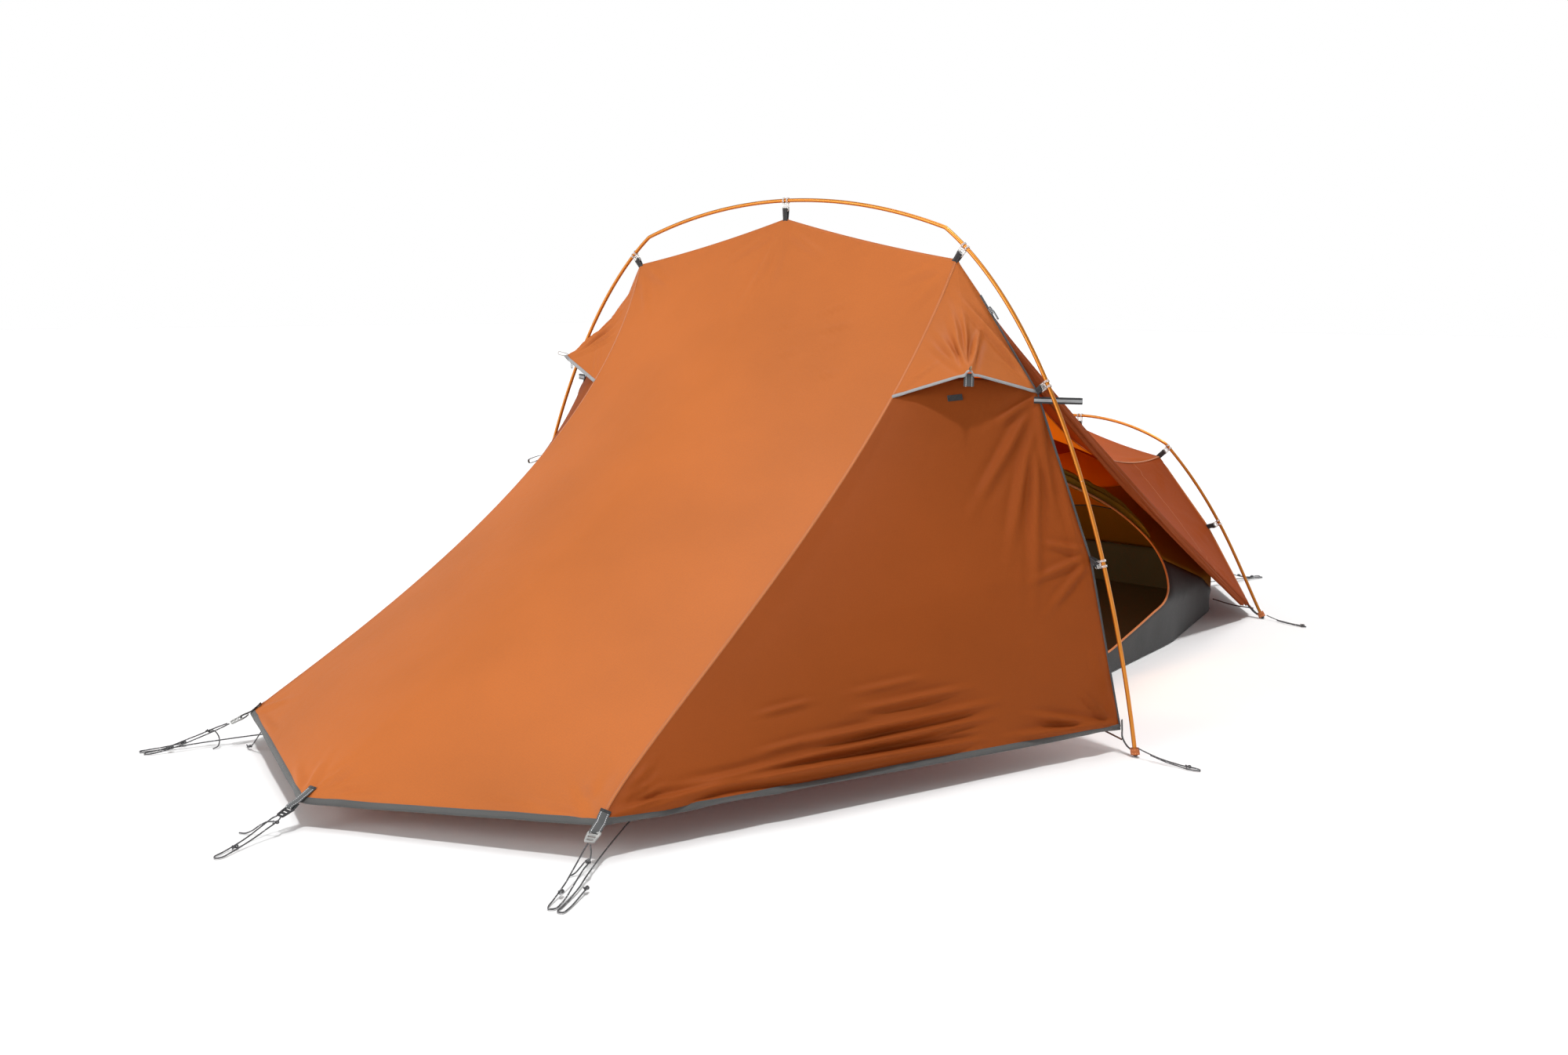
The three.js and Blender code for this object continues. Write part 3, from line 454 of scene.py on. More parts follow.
def strap_section(width, thickness):
    """A flat strap with rounded edges, as (across, up) pairs."""
    w, t = width / 2, thickness / 2
    return [(-w + t, -t), (0, -t), (w - t, -t), (w, 0), (w - t, t), (0, t), (-w + t, t), (-w, 0)]


def sharpen(piece, degrees=35):
    """Marks the edges that bend more than this as sharp, so that smooth shading stops there."""
    work = bmesh.new()
    work.from_mesh(piece.data)
    for edge in work.edges:
        if len(edge.link_faces) == 2 and edge.calc_face_angle(0) > math.radians(degrees):
            edge.smooth = False
    work.to_mesh(piece.data)
    work.free()
    return piece


def modifier(piece, kind, **settings):
    added = piece.modifiers.new(kind.lower(), kind)
    for key, value in settings.items():
        setattr(added, key, value)
    return added


def joined(name, pieces):
    """One object from several, with their materials."""
    bpy.ops.object.select_all(action="DESELECT")
    for piece in pieces:
        piece.select_set(True)
    bpy.context.view_layer.objects.active = pieces[0]
    bpy.ops.object.join()
    pieces[0].name = name
    return pieces[0]


def on_body(piece, body="tent", stands_for=()):
    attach(piece, body)
    if stands_for:
        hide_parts(*stands_for)
    return piece


def strap(name, points, width, thickness, material, up=None, body="tent", stands_for=()):
    piece = sweep(name, points, strap_section(width, thickness), material, up)
    return on_body(sharpen(piece, 50), body, stands_for)

# ---------------------------------------------------------------- guy lines

CORD = 0.0025

# The routes of part.mjs, in metres: doubled out to a loop for a peg and back.
NEAR_CORNER_LINE = [
    (0.519, -1.362, 0.038), (0.528, -1.382, 0.030), (0.538, -1.404, 0.022), (0.548, -1.426, 0.014),
    (0.557, -1.448, 0.008), (0.566, -1.468, 0.004), (0.573, -1.483, 0.002), (0.581, -1.490, 0.002),
    (0.587, -1.483, 0.002), (0.583, -1.468, 0.003), (0.576, -1.452, 0.005), (0.567, -1.431, 0.012),
    (0.558, -1.410, 0.019), (0.550, -1.391, 0.025), (0.545, -1.375, 0.030),
]
NEAR_MIDDLE_LINE = [
    (-0.009, -1.568, 0.026), (-0.008, -1.582, 0.021), (-0.005, -1.598, 0.016), (-0.002, -1.614, 0.011),
    (0.002, -1.632, 0.007), (0.007, -1.652, 0.004), (0.013, -1.674, 0.002), (0.019, -1.690, 0.002),
    (0.027, -1.693, 0.002), (0.031, -1.684, 0.002), (0.027, -1.668, 0.003), (0.021, -1.648, 0.005),
    (0.016, -1.628, 0.008), (0.013, -1.608, 0.013), (0.011, -1.592, 0.018), (0.010, -1.574, 0.024),
]
MAIN_FOOT_LINE = [
    (0.914, -0.266, 0.020), (0.924, -0.266, 0.017), (0.938, -0.265, 0.013), (0.954, -0.264, 0.009),
    (0.972, -0.263, 0.006), (0.990, -0.262, 0.004), (1.010, -0.260, 0.002), (1.027, -0.259, 0.002),
    (1.039, -0.262, 0.002), (1.041, -0.269, 0.002), (1.032, -0.273, 0.002), (1.014, -0.272, 0.002),
    (0.994, -0.271, 0.004), (0.974, -0.271, 0.006), (0.956, -0.271, 0.010), (0.942, -0.271, 0.013),
]
SMALL_FOOT_LINE = [
    (0.616, 1.152, 0.012), (0.628, 1.150, 0.009), (0.642, 1.147, 0.006), (0.658, 1.143, 0.004),
    (0.676, 1.139, 0.003), (0.694, 1.135, 0.002), (0.712, 1.131, 0.002), (0.728, 1.128, 0.002),
    (0.738, 1.122, 0.002), (0.734, 1.116, 0.002), (0.722, 1.119, 0.002), (0.704, 1.123, 0.002),
    (0.686, 1.127, 0.003), (0.668, 1.131, 0.004), (0.652, 1.135, 0.005),
]
FAR_CORNER_LINE = [
    (0.312, 1.582, 0.044), (0.314, 1.600, 0.038), (0.316, 1.622, 0.030), (0.319, 1.646, 0.022),
    (0.322, 1.672, 0.015), (0.325, 1.700, 0.009), (0.328, 1.730, 0.005), (0.331, 1.758, 0.002),
    (0.335, 1.780, 0.002), (0.342, 1.788, 0.002), (0.348, 1.780, 0.002), (0.346, 1.758, 0.002),
    (0.341, 1.730, 0.005), (0.336, 1.702, 0.009), (0.332, 1.676, 0.015), (0.329, 1.652, 0.021),
]


def line_length(points):
    return float(np.linalg.norm(np.diff(points, axis=0), axis=1).sum())


def cord(name, route, exit_at, diameter=CORD, material=None, stands_for=()):
    """A free cord: one open curve, smooth through its route's points."""
    points = smooth_line(route, 0.003)
    curve = bpy.data.curves.new(name, "CURVE")
    curve.dimensions = "3D"
    curve.bevel_depth = diameter / 2
    curve.bevel_resolution = 3
    curve.use_fill_caps = True
    spline = curve.splines.new("POLY")
    spline.points.add(len(points) - 1)
    spline.points.foreach_set("co", np.c_[points, np.ones(len(points))].ravel())
    curve.materials.append(material or guy_braid)
    piece = bpy.data.objects.new(name, curve)
    bpy.context.scene.collection.objects.link(piece)
    on_body(piece, "tent", stands_for)
    length = round(line_length(points), 3)
    return piece


def knot(name, at, along, radius=0.0045, strand=0.0013, material=None):
    """An overhand knot in a cord: a small trefoil of the cord's own thickness, pulled tight along the cord."""
    t = np.linspace(0, 2 * math.pi, 60, endpoint=False)
    x = (np.sin(t) + 2 * np.sin(2 * t)) / 3
    y = (np.cos(t) - 2 * np.cos(2 * t)) / 3
    z = -np.sin(3 * t) / 2.2
    forward = unit(np.asarray(along, float))
    side = unit(np.cross((0, 0, 1), forward))
    up = np.cross(forward, side)
    centre = np.asarray(at, float)
    line = centre + radius * (1.25 * x[:, None] * forward + 0.8 * y[:, None] * side + 0.75 * z[:, None] * up)
    tangents, sides, ups = frames_along(np.concatenate([line, line[:1]]))
    section = circle(strand, 8)
    rings = line[:, None] + sides[:-1, None] * section[:, :1] + ups[:-1, None] * section[:, 1:]
    mesh = mesh_of(name, rings.reshape(-1, 3), wrap_faces(len(line), 8))
    piece = outwards(new_object(name, mesh, material or guy_braid))
    return on_body(piece, "tent")


def wrap_faces(rings, sides):
    """Quads of a tube that closes on itself."""
    faces = []
    for i in range(rings):
        for j in range(sides):
            k, m = (i + 1) % rings, (j + 1) % sides
            faces.append((i * sides + j, i * sides + m, k * sides + m, k * sides + j))
    return faces


def guy(name, route, exit_at, knots, sides=("right", "left"), stands_for=True):
    """A doubled guy line with knots where its two runs are tied together, on each side."""
    for side in sides:
        turned = mirrored if side == "left" else np.array
        ending = f"_{side}" if side else ""
        for number, (at, along) in enumerate(knots):
            knot(f"{name}_knot_{number + 1}{ending}", turned([at])[0], turned([along])[0])
        nodes = [f"guy_line_{name}{ending}"] if stands_for else []
        cord(f"{name}_line{ending}", turned(route), turned([exit_at])[0], stands_for=nodes)


TO_CORNER_BUCKLE = [(0.5335, -1.3600, 0.0370), (0.5200, -1.3485, 0.0435)]
guy("near_corner", [(0.5135, -1.3475, 0.0440)] + NEAR_CORNER_LINE + TO_CORNER_BUCKLE, (0.5128, -1.3451, 0.0451),
    [((0.5605, -1.447, 0.009), (0.4, -0.9, 0)), ((0.543, -1.376, 0.030), (0.3, -0.9, 0.3))])
TO_MIDDLE_BUCKLE = [(0.0090, -1.5680, 0.0265), (0.0050, -1.5615, 0.0290)]
guy("near_middle", [(-0.0050, -1.5615, 0.0290)] + NEAR_MIDDLE_LINE + TO_MIDDLE_BUCKLE, (0, -1.561, 0.029),
    [((0.013, -1.651, 0.0055), (0.2, -0.9, 0)), ((0.0105, -1.575, 0.025), (0.1, -0.9, 0.2))], sides=("",))
guy("main_foot", MAIN_FOOT_LINE, (0.905, -0.262, 0.022), [((1.017, -0.266, 0.005), (1, 0, 0))])
guy("small_foot", SMALL_FOOT_LINE, (0.604, 1.158, 0.012), [((0.727, 1.1235, 0.005), (1, -0.2, 0))])
guy("far_corner", FAR_CORNER_LINE, (0.307, 1.562, 0.050),
    [((0.3355, 1.745, 0.006), (0.1, 1, 0)), ((0.329, 1.654, 0.022), (0.1, 0.9, -0.2))])

# The inner tent's own lines, from its floor's corners to the same pegs. They lie under the flysheet's.
INNER_NEAR_LINE = [
    (0.404, -1.126, 0.012), (0.420, -1.155, 0.012), (0.440, -1.192, 0.013), (0.462, -1.232, 0.013),
    (0.484, -1.272, 0.013), (0.506, -1.312, 0.012), (0.528, -1.352, 0.010), (0.546, -1.384, 0.008),
    (0.560, -1.408, 0.006), (0.572, -1.432, 0.004), (0.582, -1.454, 0.002), (0.591, -1.474, 0.002),
    (0.598, -1.488, 0.002), (0.606, -1.486, 0.002), (0.603, -1.472, 0.002), (0.594, -1.450, 0.003),
    (0.584, -1.428, 0.005), (0.575, -1.408, 0.007),
]
guy("inner_near", INNER_NEAR_LINE, (0.402, -1.122, 0.012), [((0.577, -1.412, 0.008), (0.4, -0.9, 0))],
    stands_for=False)
INNER_FAR_LINE = [
    (0.258, 1.386, 0.012), (0.266, 1.420, 0.013), (0.276, 1.462, 0.014), (0.287, 1.508, 0.014),
    (0.298, 1.556, 0.013), (0.309, 1.604, 0.011), (0.319, 1.650, 0.008), (0.329, 1.696, 0.005),
    (0.340, 1.740, 0.003), (0.350, 1.768, 0.002), (0.357, 1.774, 0.002), (0.361, 1.766, 0.002),
    (0.356, 1.744, 0.002), (0.348, 1.716, 0.004), (0.342, 1.694, 0.006),
]
guy("inner_far", INNER_FAR_LINE, (0.256, 1.382, 0.012), [((0.3425, 1.705, 0.007), (0.2, 1, 0))],
    stands_for=False)


def tail(name, points, exit_at, sides=("right", "left")):
    """The short free end of a cord beyond its knot."""
    for side in sides:
        turned = mirrored if side == "left" else np.array
        ending = f"_{side}" if side else ""
        cord(f"{name}{ending}", turned(points), turned([exit_at])[0])


tail("near_corner_tail", [(0.545, -1.373, 0.031), (0.536, -1.368, 0.030), (0.526, -1.366, 0.023),
                          (0.518, -1.368, 0.013), (0.513, -1.375, 0.004), (0.512, -1.386, 0.002)],
     (0.543, -1.376, 0.030))
tail("near_middle_tail", [(0.008, -1.576, 0.026), (-0.004, -1.582, 0.024), (-0.016, -1.588, 0.017),
                          (-0.027, -1.594, 0.008), (-0.038, -1.601, 0.002), (-0.048, -1.607, 0.002)],
     (0.0105, -1.575, 0.025), sides=("",))

# the knotted end of a cord that hangs from the hem on the left
hanging_knot = knot("hem_cord_knot_left", (-0.458, -1.339, 0.0065), (-0.9, 0.1, -0.2))
cord("hem_cord_left", [(-0.403, -1.341, 0.052), (-0.415, -1.342, 0.040), (-0.430, -1.341, 0.026), (-0.446, -1.340, 0.012),
                       (-0.458, -1.339, 0.0065), (-0.470, -1.336, 0.0040), (-0.482, -1.331, 0.0030)],
     (-0.403, -1.343, 0.054))

# ---------------------------------------------------------------- the tent's lines, as in part.mjs

POLE = 0.0085
POLE_BORE = 0.0065
SHOCK_CORD = 0.0026


class Hoop:
    """A pole bent over the tent: an arc over the top, then a leg that bends away at the elbow."""

    def __init__(self, y, lean, top, foot, elbow, elbow_bend, foot_bend):
        self.y, self.lean, self.top, self.foot, self.elbow = y, lean, top, foot, elbow
        angle, reach = math.radians(elbow_bend[0]), elbow_bend[1]
        self.below_elbow = (elbow[0] + reach * math.cos(angle), elbow[1] - reach * math.sin(angle))
        angle, reach = math.radians(foot_bend[0]), foot_bend[1]
        self.above_foot = (foot - reach * math.cos(angle), reach * math.sin(angle))

    def at(self, x, z, behind=0.0):
        return np.stack(np.broadcast_arrays(x, self.y + self.lean * np.asarray(z, float) + behind, z), axis=-1)

    def ridge(self, t):
        x, z = self.elbow
        drop = self.top - z
        radius = (x * x + drop * drop) / (2 * drop)
        angle = np.asarray(t) * math.asin(x / radius)
        return self.at(radius * np.sin(angle), self.top - radius * (1 - np.cos(angle)))

    def leg(self, t):
        corners = [self.elbow, self.below_elbow, self.above_foot, (self.foot, 0)]
        return bezier(*[self.at(*corner) for corner in corners], t)

    def leg_at(self, height):
        return bisect(lambda t: self.leg(t)[2], height)

    def edge(self, points):
        return [self.at(*point) for point in points]


def bisect(falling, target):
    """Where a function that falls from 0 to 1 comes down to a value."""
    low, high = 0.0, 1.0
    for _ in range(40):
        half = (low + high) / 2
        if falling(half) > target:
            low = half
        else:
            high = half
    return low


MAIN = Hoop(-0.260, 0.0225, 1.100, 0.906, (0.426, 1.029), (36, 0.428), (80, 0.104))
SMALL = Hoop(1.158, 0.0377, 0.540, 0.604, (0.281, 0.472), (43.7, 0.252), (58.6, 0.139))
MAIN_CLIPS = {"shoulder": 0.989, "mid": 0.717, "low": 0.372}
SMALL_CLIPS = {"shoulder": 0.462, "mid": 0.258}
EDGE_BEHIND = 0.012

apex = MAIN.at(0, 1.060)
shoulder = MAIN.at(0.455, 0.964)
main_mid = MAIN.at(0.648, 0.700, EDGE_BEHIND)
main_low = MAIN.at(0.784, 0.375, EDGE_BEHIND)
main_foot = MAIN.at(0.864, 0.050, EDGE_BEHIND)
small_apex = SMALL.at(0, 0.505)
small_shoulder = SMALL.at(0.262, 0.434)
small_mid = SMALL.at(0.424, 0.243)
small_foot = SMALL.at(0.565, 0.028)
NEAR_CORNER = arr(0.498, -1.305, 0.062)
NEAR_MIDDLE = arr(0, -1.518, 0.045)
FAR_CORNER = arr(0.300, 1.530, 0.062)
FAR_MIDDLE = arr(0, 1.530, 0.062)
SEAM_AT_VENT = 0.2
VENT_OUT = 0.060
VENT_UP = 0.045
ROOF_SAG = 0.163
RIDGE_SAG = 0.006
VENT_ROW = 40  # of the 200 rows down the long seam: where the vent's corner is
ZIP_ROW = 11  # and where the door's zip starts

zip_top = lerp(shoulder, MAIN.at(0.648, 0.700), ZIP_ROW / VENT_ROW) + arr(0, EDGE_BEHIND, 0)


def seam(t):
    return bezier(shoulder, arr(0.384, -0.450, 0.474), arr(0.455, -1.219, 0.140), NEAR_CORNER, t)


def middle(t):
    return bezier(apex, arr(0, -0.490, 0.530), arr(0, -1.390, 0.130), NEAR_MIDDLE, t)


def hood_edge(t):
    """Down the hoop from the shoulder to the vent's corner: forward of the zip above its top, then level with it."""
    t = np.asarray(t, float)[..., None]
    start = ZIP_ROW / VENT_ROW
    upper = lerp(shoulder, zip_top, t / start)
    lower = lerp(zip_top, main_mid, (t - start) / (1 - start))
    return np.where(t < start, upper, lower)


side_edge = polyline([main_mid, main_low, main_foot])
rear_edge = polyline([small_shoulder, small_mid, small_foot])
far_hem = polyline([FAR_MIDDLE, FAR_CORNER, small_foot])


def over_the_middle(centre, side, across, weight):
    """A line from one side over the middle to the other: across goes from -1 to 1."""
    y = lerp(centre[..., 1], side[..., 1], weight)
    z = lerp(centre[..., 2], side[..., 2], weight)
    return np.stack([across * side[..., 0], y, z], axis=-1)


def near_end(u, v):
    across = 2 * u - 1
    weight = np.abs(across) ** (1 + 0.6 * np.sin(math.pi * v))
    points = over_the_middle(middle(v), seam(v), across, weight)
    points[..., 2] -= 4 * RIDGE_SAG * weight * (1 - weight) * (1 - v) ** 8
    return points


def vent_hood(u, v):
    points = lerp(seam(v * SEAM_AT_VENT), hood_edge(v), u[..., None])
    push = (1 - np.abs(2 * u - 1)) * v * v
    along = main_mid - seam(SEAM_AT_VENT)
    out = unit(arr(along[1], -along[0], 0))
    points = points + VENT_OUT * push[..., None] * out
    points[..., 2] += VENT_UP * push
    return points


def side_panel(u, v):
    points = lerp(seam(SEAM_AT_VENT + (1 - SEAM_AT_VENT) * v), side_edge(v), u[..., None])
    edge = np.clip(np.minimum(u, 1 - u) * 12, 0, 1)
    points[..., 2] += 0.038 * 4 * u * (1 - u) * (1 - v) ** 6 - 0.005 * (1 - v) * edge
    return points


def sagging(start, end, t, sag):
    points = lerp(start, end, np.asarray(t, float)[..., None])
    points[..., 2] -= 4 * sag * t * (1 - t)
    return points


def roof(u, v):
    across = 2 * u - 1
    side = sagging(shoulder, small_shoulder, v, ROOF_SAG)
    centre = sagging(apex, small_apex, v, ROOF_SAG)
    weight = np.abs(across) ** (1 + 0.4 * np.sin(math.pi * v))
    points = over_the_middle(centre, side, across, weight)
    points[..., 2] -= 4 * RIDGE_SAG * weight * (1 - weight) * ((1 - v) ** 8 + v**8)
    return points


ROLLED_DOOR_SAG = 0.032


def diagonal(t, sag):
    """The seam from the top of the door's zip to the small hoop's foot."""
    points = lerp(zip_top, small_foot, t[..., None])
    along = t**0.6
    points[..., 2] -= 4 * sag * along * (1 - along)
    return points


def rear_panel(u, v):
    """The panel over the open door, which hangs from its lower edge."""
    return over_a_door(u, v, ROLLED_DOOR_SAG)


def rear_panel_straight(u, v):
    """The panel over the door that is shut."""
    return over_a_door(u, v, 0.0)


def over_a_door(u, v, sag):
    top = sagging(shoulder, small_shoulder, u, ROOF_SAG)
    bottom = diagonal(u, sag)
    straight = lerp(top, bottom, v[..., None])
    return lerp(straight, rear_edge(v), (u**6)[..., None])


# Half of the far end's upper edge: over the small hoop from its middle to its foot.
ARCH_COLUMNS = 48
ARCH_ROWS = 24
arch_share = 0.348  # of that length, from the middle to the shoulder


def far_end(u, v):
    across = 2 * u - 1
    place = np.abs(across)
    top = np.clip(place / arch_share, 0, 1)
    upper = lerp(small_apex, small_shoulder, top[..., None])
    upper[..., 2] -= 4 * RIDGE_SAG * top * (1 - top)
    lower = rear_edge((place - arch_share) / (1 - arch_share))
    arch = np.where((place < arch_share)[..., None], upper, lower)
    points = lerp(arch, far_hem(place), v[..., None])
    points[..., 2] -= 0.025 * 4 * v * (1 - v) * (1 - across**4)
    points[..., 0] *= np.sign(across)
    return points


DOOR_BEHIND = arr(0, 0.005, 0)
door_top = zip_top + DOOR_BEHIND
door_edge = polyline([door_top, main_mid + DOOR_BEHIND, main_low + DOOR_BEHIND, main_foot + DOOR_BEHIND])


def door_panel(u, v):
    """u from the diagonal down the zipped edge, v from the main hoop towards the small hoop's foot."""
    points = lerp(door_edge(u), small_foot, v[..., None])
    bulge = 0.010 * 16 * u * (1 - u) * v * (1 - v)
    return points + bulge[..., None] * arr(0.9, 0, 0.4)


# ---------------------------------------------------------------- sewn cloth


INSIDE = arr(0, 0.1, 0.3)  # a place inside the tent


def normals_of(points):
    """Unit normals of a grid of points, away from the tent's inside."""
    normals = unit(np.cross(np.gradient(points, axis=1), np.gradient(points, axis=0)))
    return normals * np.sign(np.sum(normals * (points - INSIDE)))


def arc_uv(points):
    """Places on the cloth in metres: across from the middle column, and down from the first row."""
    across = np.linalg.norm(np.diff(points, axis=1), axis=2)
    across = np.concatenate([np.zeros((len(points), 1)), np.cumsum(across, axis=1)], axis=1)
    across -= across[:, points.shape[1] // 2][:, None]
    down = np.linalg.norm(np.diff(points, axis=0), axis=2)
    down = np.concatenate([np.zeros((1, points.shape[1])), np.cumsum(down, axis=0)], axis=0)
    return np.stack([across, down], axis=-1)


def grid_of(surface, us, vs):
    u, v = np.meshgrid(us, vs)
    return surface(u, v)


def folded(points, folds, hold):
    """Raises long folds on a grid of points, each (start, end, height, width) with its ends as grid fractions."""
    normals = normals_of(points)
    rows, columns = points.shape[:2]
    total = np.zeros((rows, columns))
    for (u0, v0), (u1, v1), height, width in folds:
        a = points[round(v0 * (rows - 1)), round(u0 * (columns - 1))]
        b = points[round(v1 * (rows - 1)), round(u1 * (columns - 1))]
        line = b - a
        length = np.linalg.norm(line)
        t = np.clip(((points - a) @ line) / length**2, 0, 1)
        away = points - (a + t[..., None] * line)
        side = unit(np.cross(normals, line))
        s = np.sum(away * side, axis=2) / width
        far = np.linalg.norm(away, axis=2) / width
        ridge = np.exp(-(s**2)) - 0.45 * np.exp(-((s - 1.5) ** 2)) - 0.45 * np.exp(-((s + 1.5) ** 2))
        ends = np.sin(math.pi * np.clip(t, 0.02, 0.98)) ** 0.7
        total += height * ridge * ends * np.exp(-np.clip(far - 2.5, 0, None) ** 2)
    return points + (total * hold)[..., None] * normals


def held_edges(rows, columns, left=0.0, right=0.0, top=0.0, bottom=0.0):
    """1 inside a grid, falling to 0 at an edge over the given share of its size."""
    hold = np.ones((rows, columns))
    u = np.linspace(0, 1, columns)[None, :]
    v = np.linspace(0, 1, rows)[:, None]
    for place, share in ((u, left), (1 - u, right), (v, top), (1 - v, bottom)):
        if share:
            hold = hold * np.clip(place / share, 0, 1)
    return hold


class Sewn:
    """Panels of cloth sewn into one mesh: edges in the same place are welded."""

    def __init__(self):
        self.vertices, self.uv, self.faces, self.face_material, self.materials = [], [], [], [], []
        self.count = 0

    def panel(self, points, material, flip=False):
        rows, columns = points.shape[:2]
        faces = grid_faces(rows, columns, self.count, flip)
        if material not in self.materials:
            self.materials.append(material)
        self.vertices.append(points.reshape(-1, 3))
        self.uv.append(arc_uv(points).reshape(-1, 2))
        self.faces += faces
        self.face_material += [self.materials.index(material)] * len(faces)
        self.count += rows * columns

    def build(self, name, thickness=0.0008, weld=0.00002):
        mesh = mesh_of(name, np.concatenate(self.vertices), self.faces, np.concatenate(self.uv))
        piece = new_object(name, mesh, self.materials[0])
        for material in self.materials[1:]:
            mesh.materials.append(material)
        mesh.polygons.foreach_set("material_index", self.face_material)
        work = bmesh.new()
        work.from_mesh(mesh)
        bmesh.ops.remove_doubles(work, verts=work.verts, dist=weld)
        bmesh.ops.dissolve_degenerate(work, edges=work.edges, dist=weld)
        bmesh.ops.recalc_face_normals(work, faces=work.faces)
        work.to_mesh(mesh)
        work.free()
        if thickness:
            modifier(piece, "SOLIDIFY", thickness=thickness, offset=0)
        return piece


def mirrored_grid(points):
    return mirrored(points)[:, ::-1]


# ---------------------------------------------------------------- flysheet

NEAR_COLUMNS = 97
ROWS = 201
SIDE_COLUMNS = 97
ROOF_ROWS = 121

NEAR_FOLDS = [
    # fans at the hem's corners, the crown and the shoulders
    ((0.985, 0.985), (0.93, 0.87), 0.005, 0.010), ((0.98, 0.97), (0.965, 0.83), 0.005, 0.009),
    ((0.97, 0.99), (0.86, 0.94), 0.004, 0.011), ((0.96, 0.995), (0.78, 0.98), 0.004, 0.010),
    ((0.50, 0.985), (0.53, 0.87), 0.005, 0.010), ((0.51, 0.985), (0.57, 0.91), 0.005, 0.010),
    ((0.52, 0.99), (0.66, 0.955), 0.004, 0.010), ((0.49, 0.985), (0.45, 0.89), 0.005, 0.010),
    ((0.48, 0.99), (0.38, 0.95), 0.004, 0.010),
    ((0.015, 0.985), (0.08, 0.88), 0.005, 0.010), ((0.03, 0.99), (0.18, 0.955), 0.004, 0.010),
    ((0.50, 0.015), (0.47, 0.11), 0.005, 0.011), ((0.51, 0.02), (0.53, 0.10), 0.004, 0.010),
    ((0.985, 0.015), (0.93, 0.09), 0.004, 0.010), ((0.97, 0.01), (0.86, 0.05), 0.004, 0.010),
    ((0.015, 0.015), (0.08, 0.09), 0.004, 0.010), ((0.52, 0.015), (0.66, 0.04), 0.004, 0.010),
    ((0.48, 0.015), (0.34, 0.04), 0.004, 0.010), ((0.03, 0.01), (0.14, 0.05), 0.004, 0.010),
    # short creases in the upper part
    ((0.70, 0.12), (0.775, 0.09), 0.0053, 0.0051), ((0.73, 0.14), (0.81, 0.115), 0.0053, 0.0051),
    ((0.765, 0.16), (0.805, 0.145), 0.0045, 0.0043), ((0.66, 0.185), (0.71, 0.172), 0.0045, 0.0051),
    ((0.60, 0.15), (0.66, 0.135), 0.0037, 0.0051), ((0.79, 0.20), (0.84, 0.185), 0.0037, 0.0051),
]
SIDE_FOLDS = [
    # the heavy fold over the hem by the near corner, and those that run beside it
    ((0.035, 0.965), (0.215, 0.93), 0.0145, 0.0078), ((0.19, 0.932), (0.525, 0.948), 0.0217, 0.009),
    ((0.46, 0.944), (0.68, 0.955), 0.013, 0.0078), ((0.10, 0.905), (0.40, 0.895), 0.0116, 0.0078),
    ((0.36, 0.893), (0.70, 0.895), 0.0159, 0.0078), ((0.32, 0.835), (0.71, 0.85), 0.013, 0.0078),
    ((0.43, 0.775), (0.66, 0.79), 0.0087, 0.007), ((0.21, 0.715), (0.31, 0.71), 0.0058, 0.0062),
    ((0.58, 0.92), (0.69, 0.925), 0.0072, 0.0062), ((0.24, 0.835), (0.34, 0.83), 0.0043, 0.0062),
    ((0.10, 0.982), (0.31, 0.985), 0.0072, 0.0047), ((0.40, 0.72), (0.56, 0.725), 0.0043, 0.007),
    ((0.45, 0.82), (0.58, 0.825), 0.0058, 0.0062), ((0.50, 0.865), (0.64, 0.87), 0.0058, 0.0055),
    # the fan of fine folds at the near corner
    ((0.01, 0.985), (0.09, 0.925), 0.0087, 0.0055), ((0.01, 0.975), (0.07, 0.885), 0.0087, 0.0055),
    ((0.01, 0.965), (0.05, 0.85), 0.0072, 0.0055), ((0.01, 0.955), (0.03, 0.78), 0.0058, 0.0055),
    ((0.01, 0.992), (0.16, 0.965), 0.0072, 0.0047),
    # the fan at the hoop's foot
    ((0.985, 0.985), (0.76, 0.97), 0.0116, 0.007), ((0.97, 0.985), (0.805, 0.915), 0.0101, 0.007),
    ((0.975, 0.975), (0.92, 0.87), 0.0087, 0.0062), ((0.985, 0.97), (0.975, 0.80), 0.0072, 0.0062),
    ((0.985, 0.96), (0.955, 0.74), 0.0058, 0.0062),
    # long upright folds below the middle clip
    ((0.965, 0.03), (0.66, 0.28), 0.0087, 0.0109), ((0.975, 0.04), (0.77, 0.425), 0.0087, 0.0109),
    ((0.98, 0.05), (0.83, 0.57), 0.0101, 0.0109), ((0.985, 0.02), (0.93, 0.34), 0.0087, 0.0086),
    ((0.985, 0.01), (0.72, 0.10), 0.0072, 0.0094), ((0.99, 0.20), (0.97, 0.60), 0.0058, 0.007),
    ((0.985, 0.49), (0.88, 0.43), 0.0072, 0.0078), ((0.985, 0.52), (0.88, 0.62), 0.0072, 0.0078),
    ((0.985, 0.50), (0.82, 0.53), 0.0058, 0.0078),
]
HOOD_FOLDS = [
    # a fan from the peak, and the folds from the middle clip
    ((0.49, 0.98), (0.305, 0.41), 0.0078, 0.0068), ((0.48, 0.975), (0.165, 0.55), 0.0065, 0.0068),
    ((0.51, 0.98), (0.715, 0.54), 0.0078, 0.0068), ((0.515, 0.975), (0.655, 0.625), 0.0065, 0.0051),
    ((0.47, 0.97), (0.115, 0.63), 0.0065, 0.0059), ((0.985, 0.97), (0.475, 0.295), 0.0078, 0.0076),
    ((0.485, 0.97), (0.225, 0.435), 0.0052, 0.0051), ((0.50, 0.98), (0.52, 0.50), 0.0065, 0.0059),
    ((0.98, 0.97), (0.76, 0.74), 0.0039, 0.0068), ((0.02, 0.97), (0.28, 0.78), 0.0039, 0.0068),
]
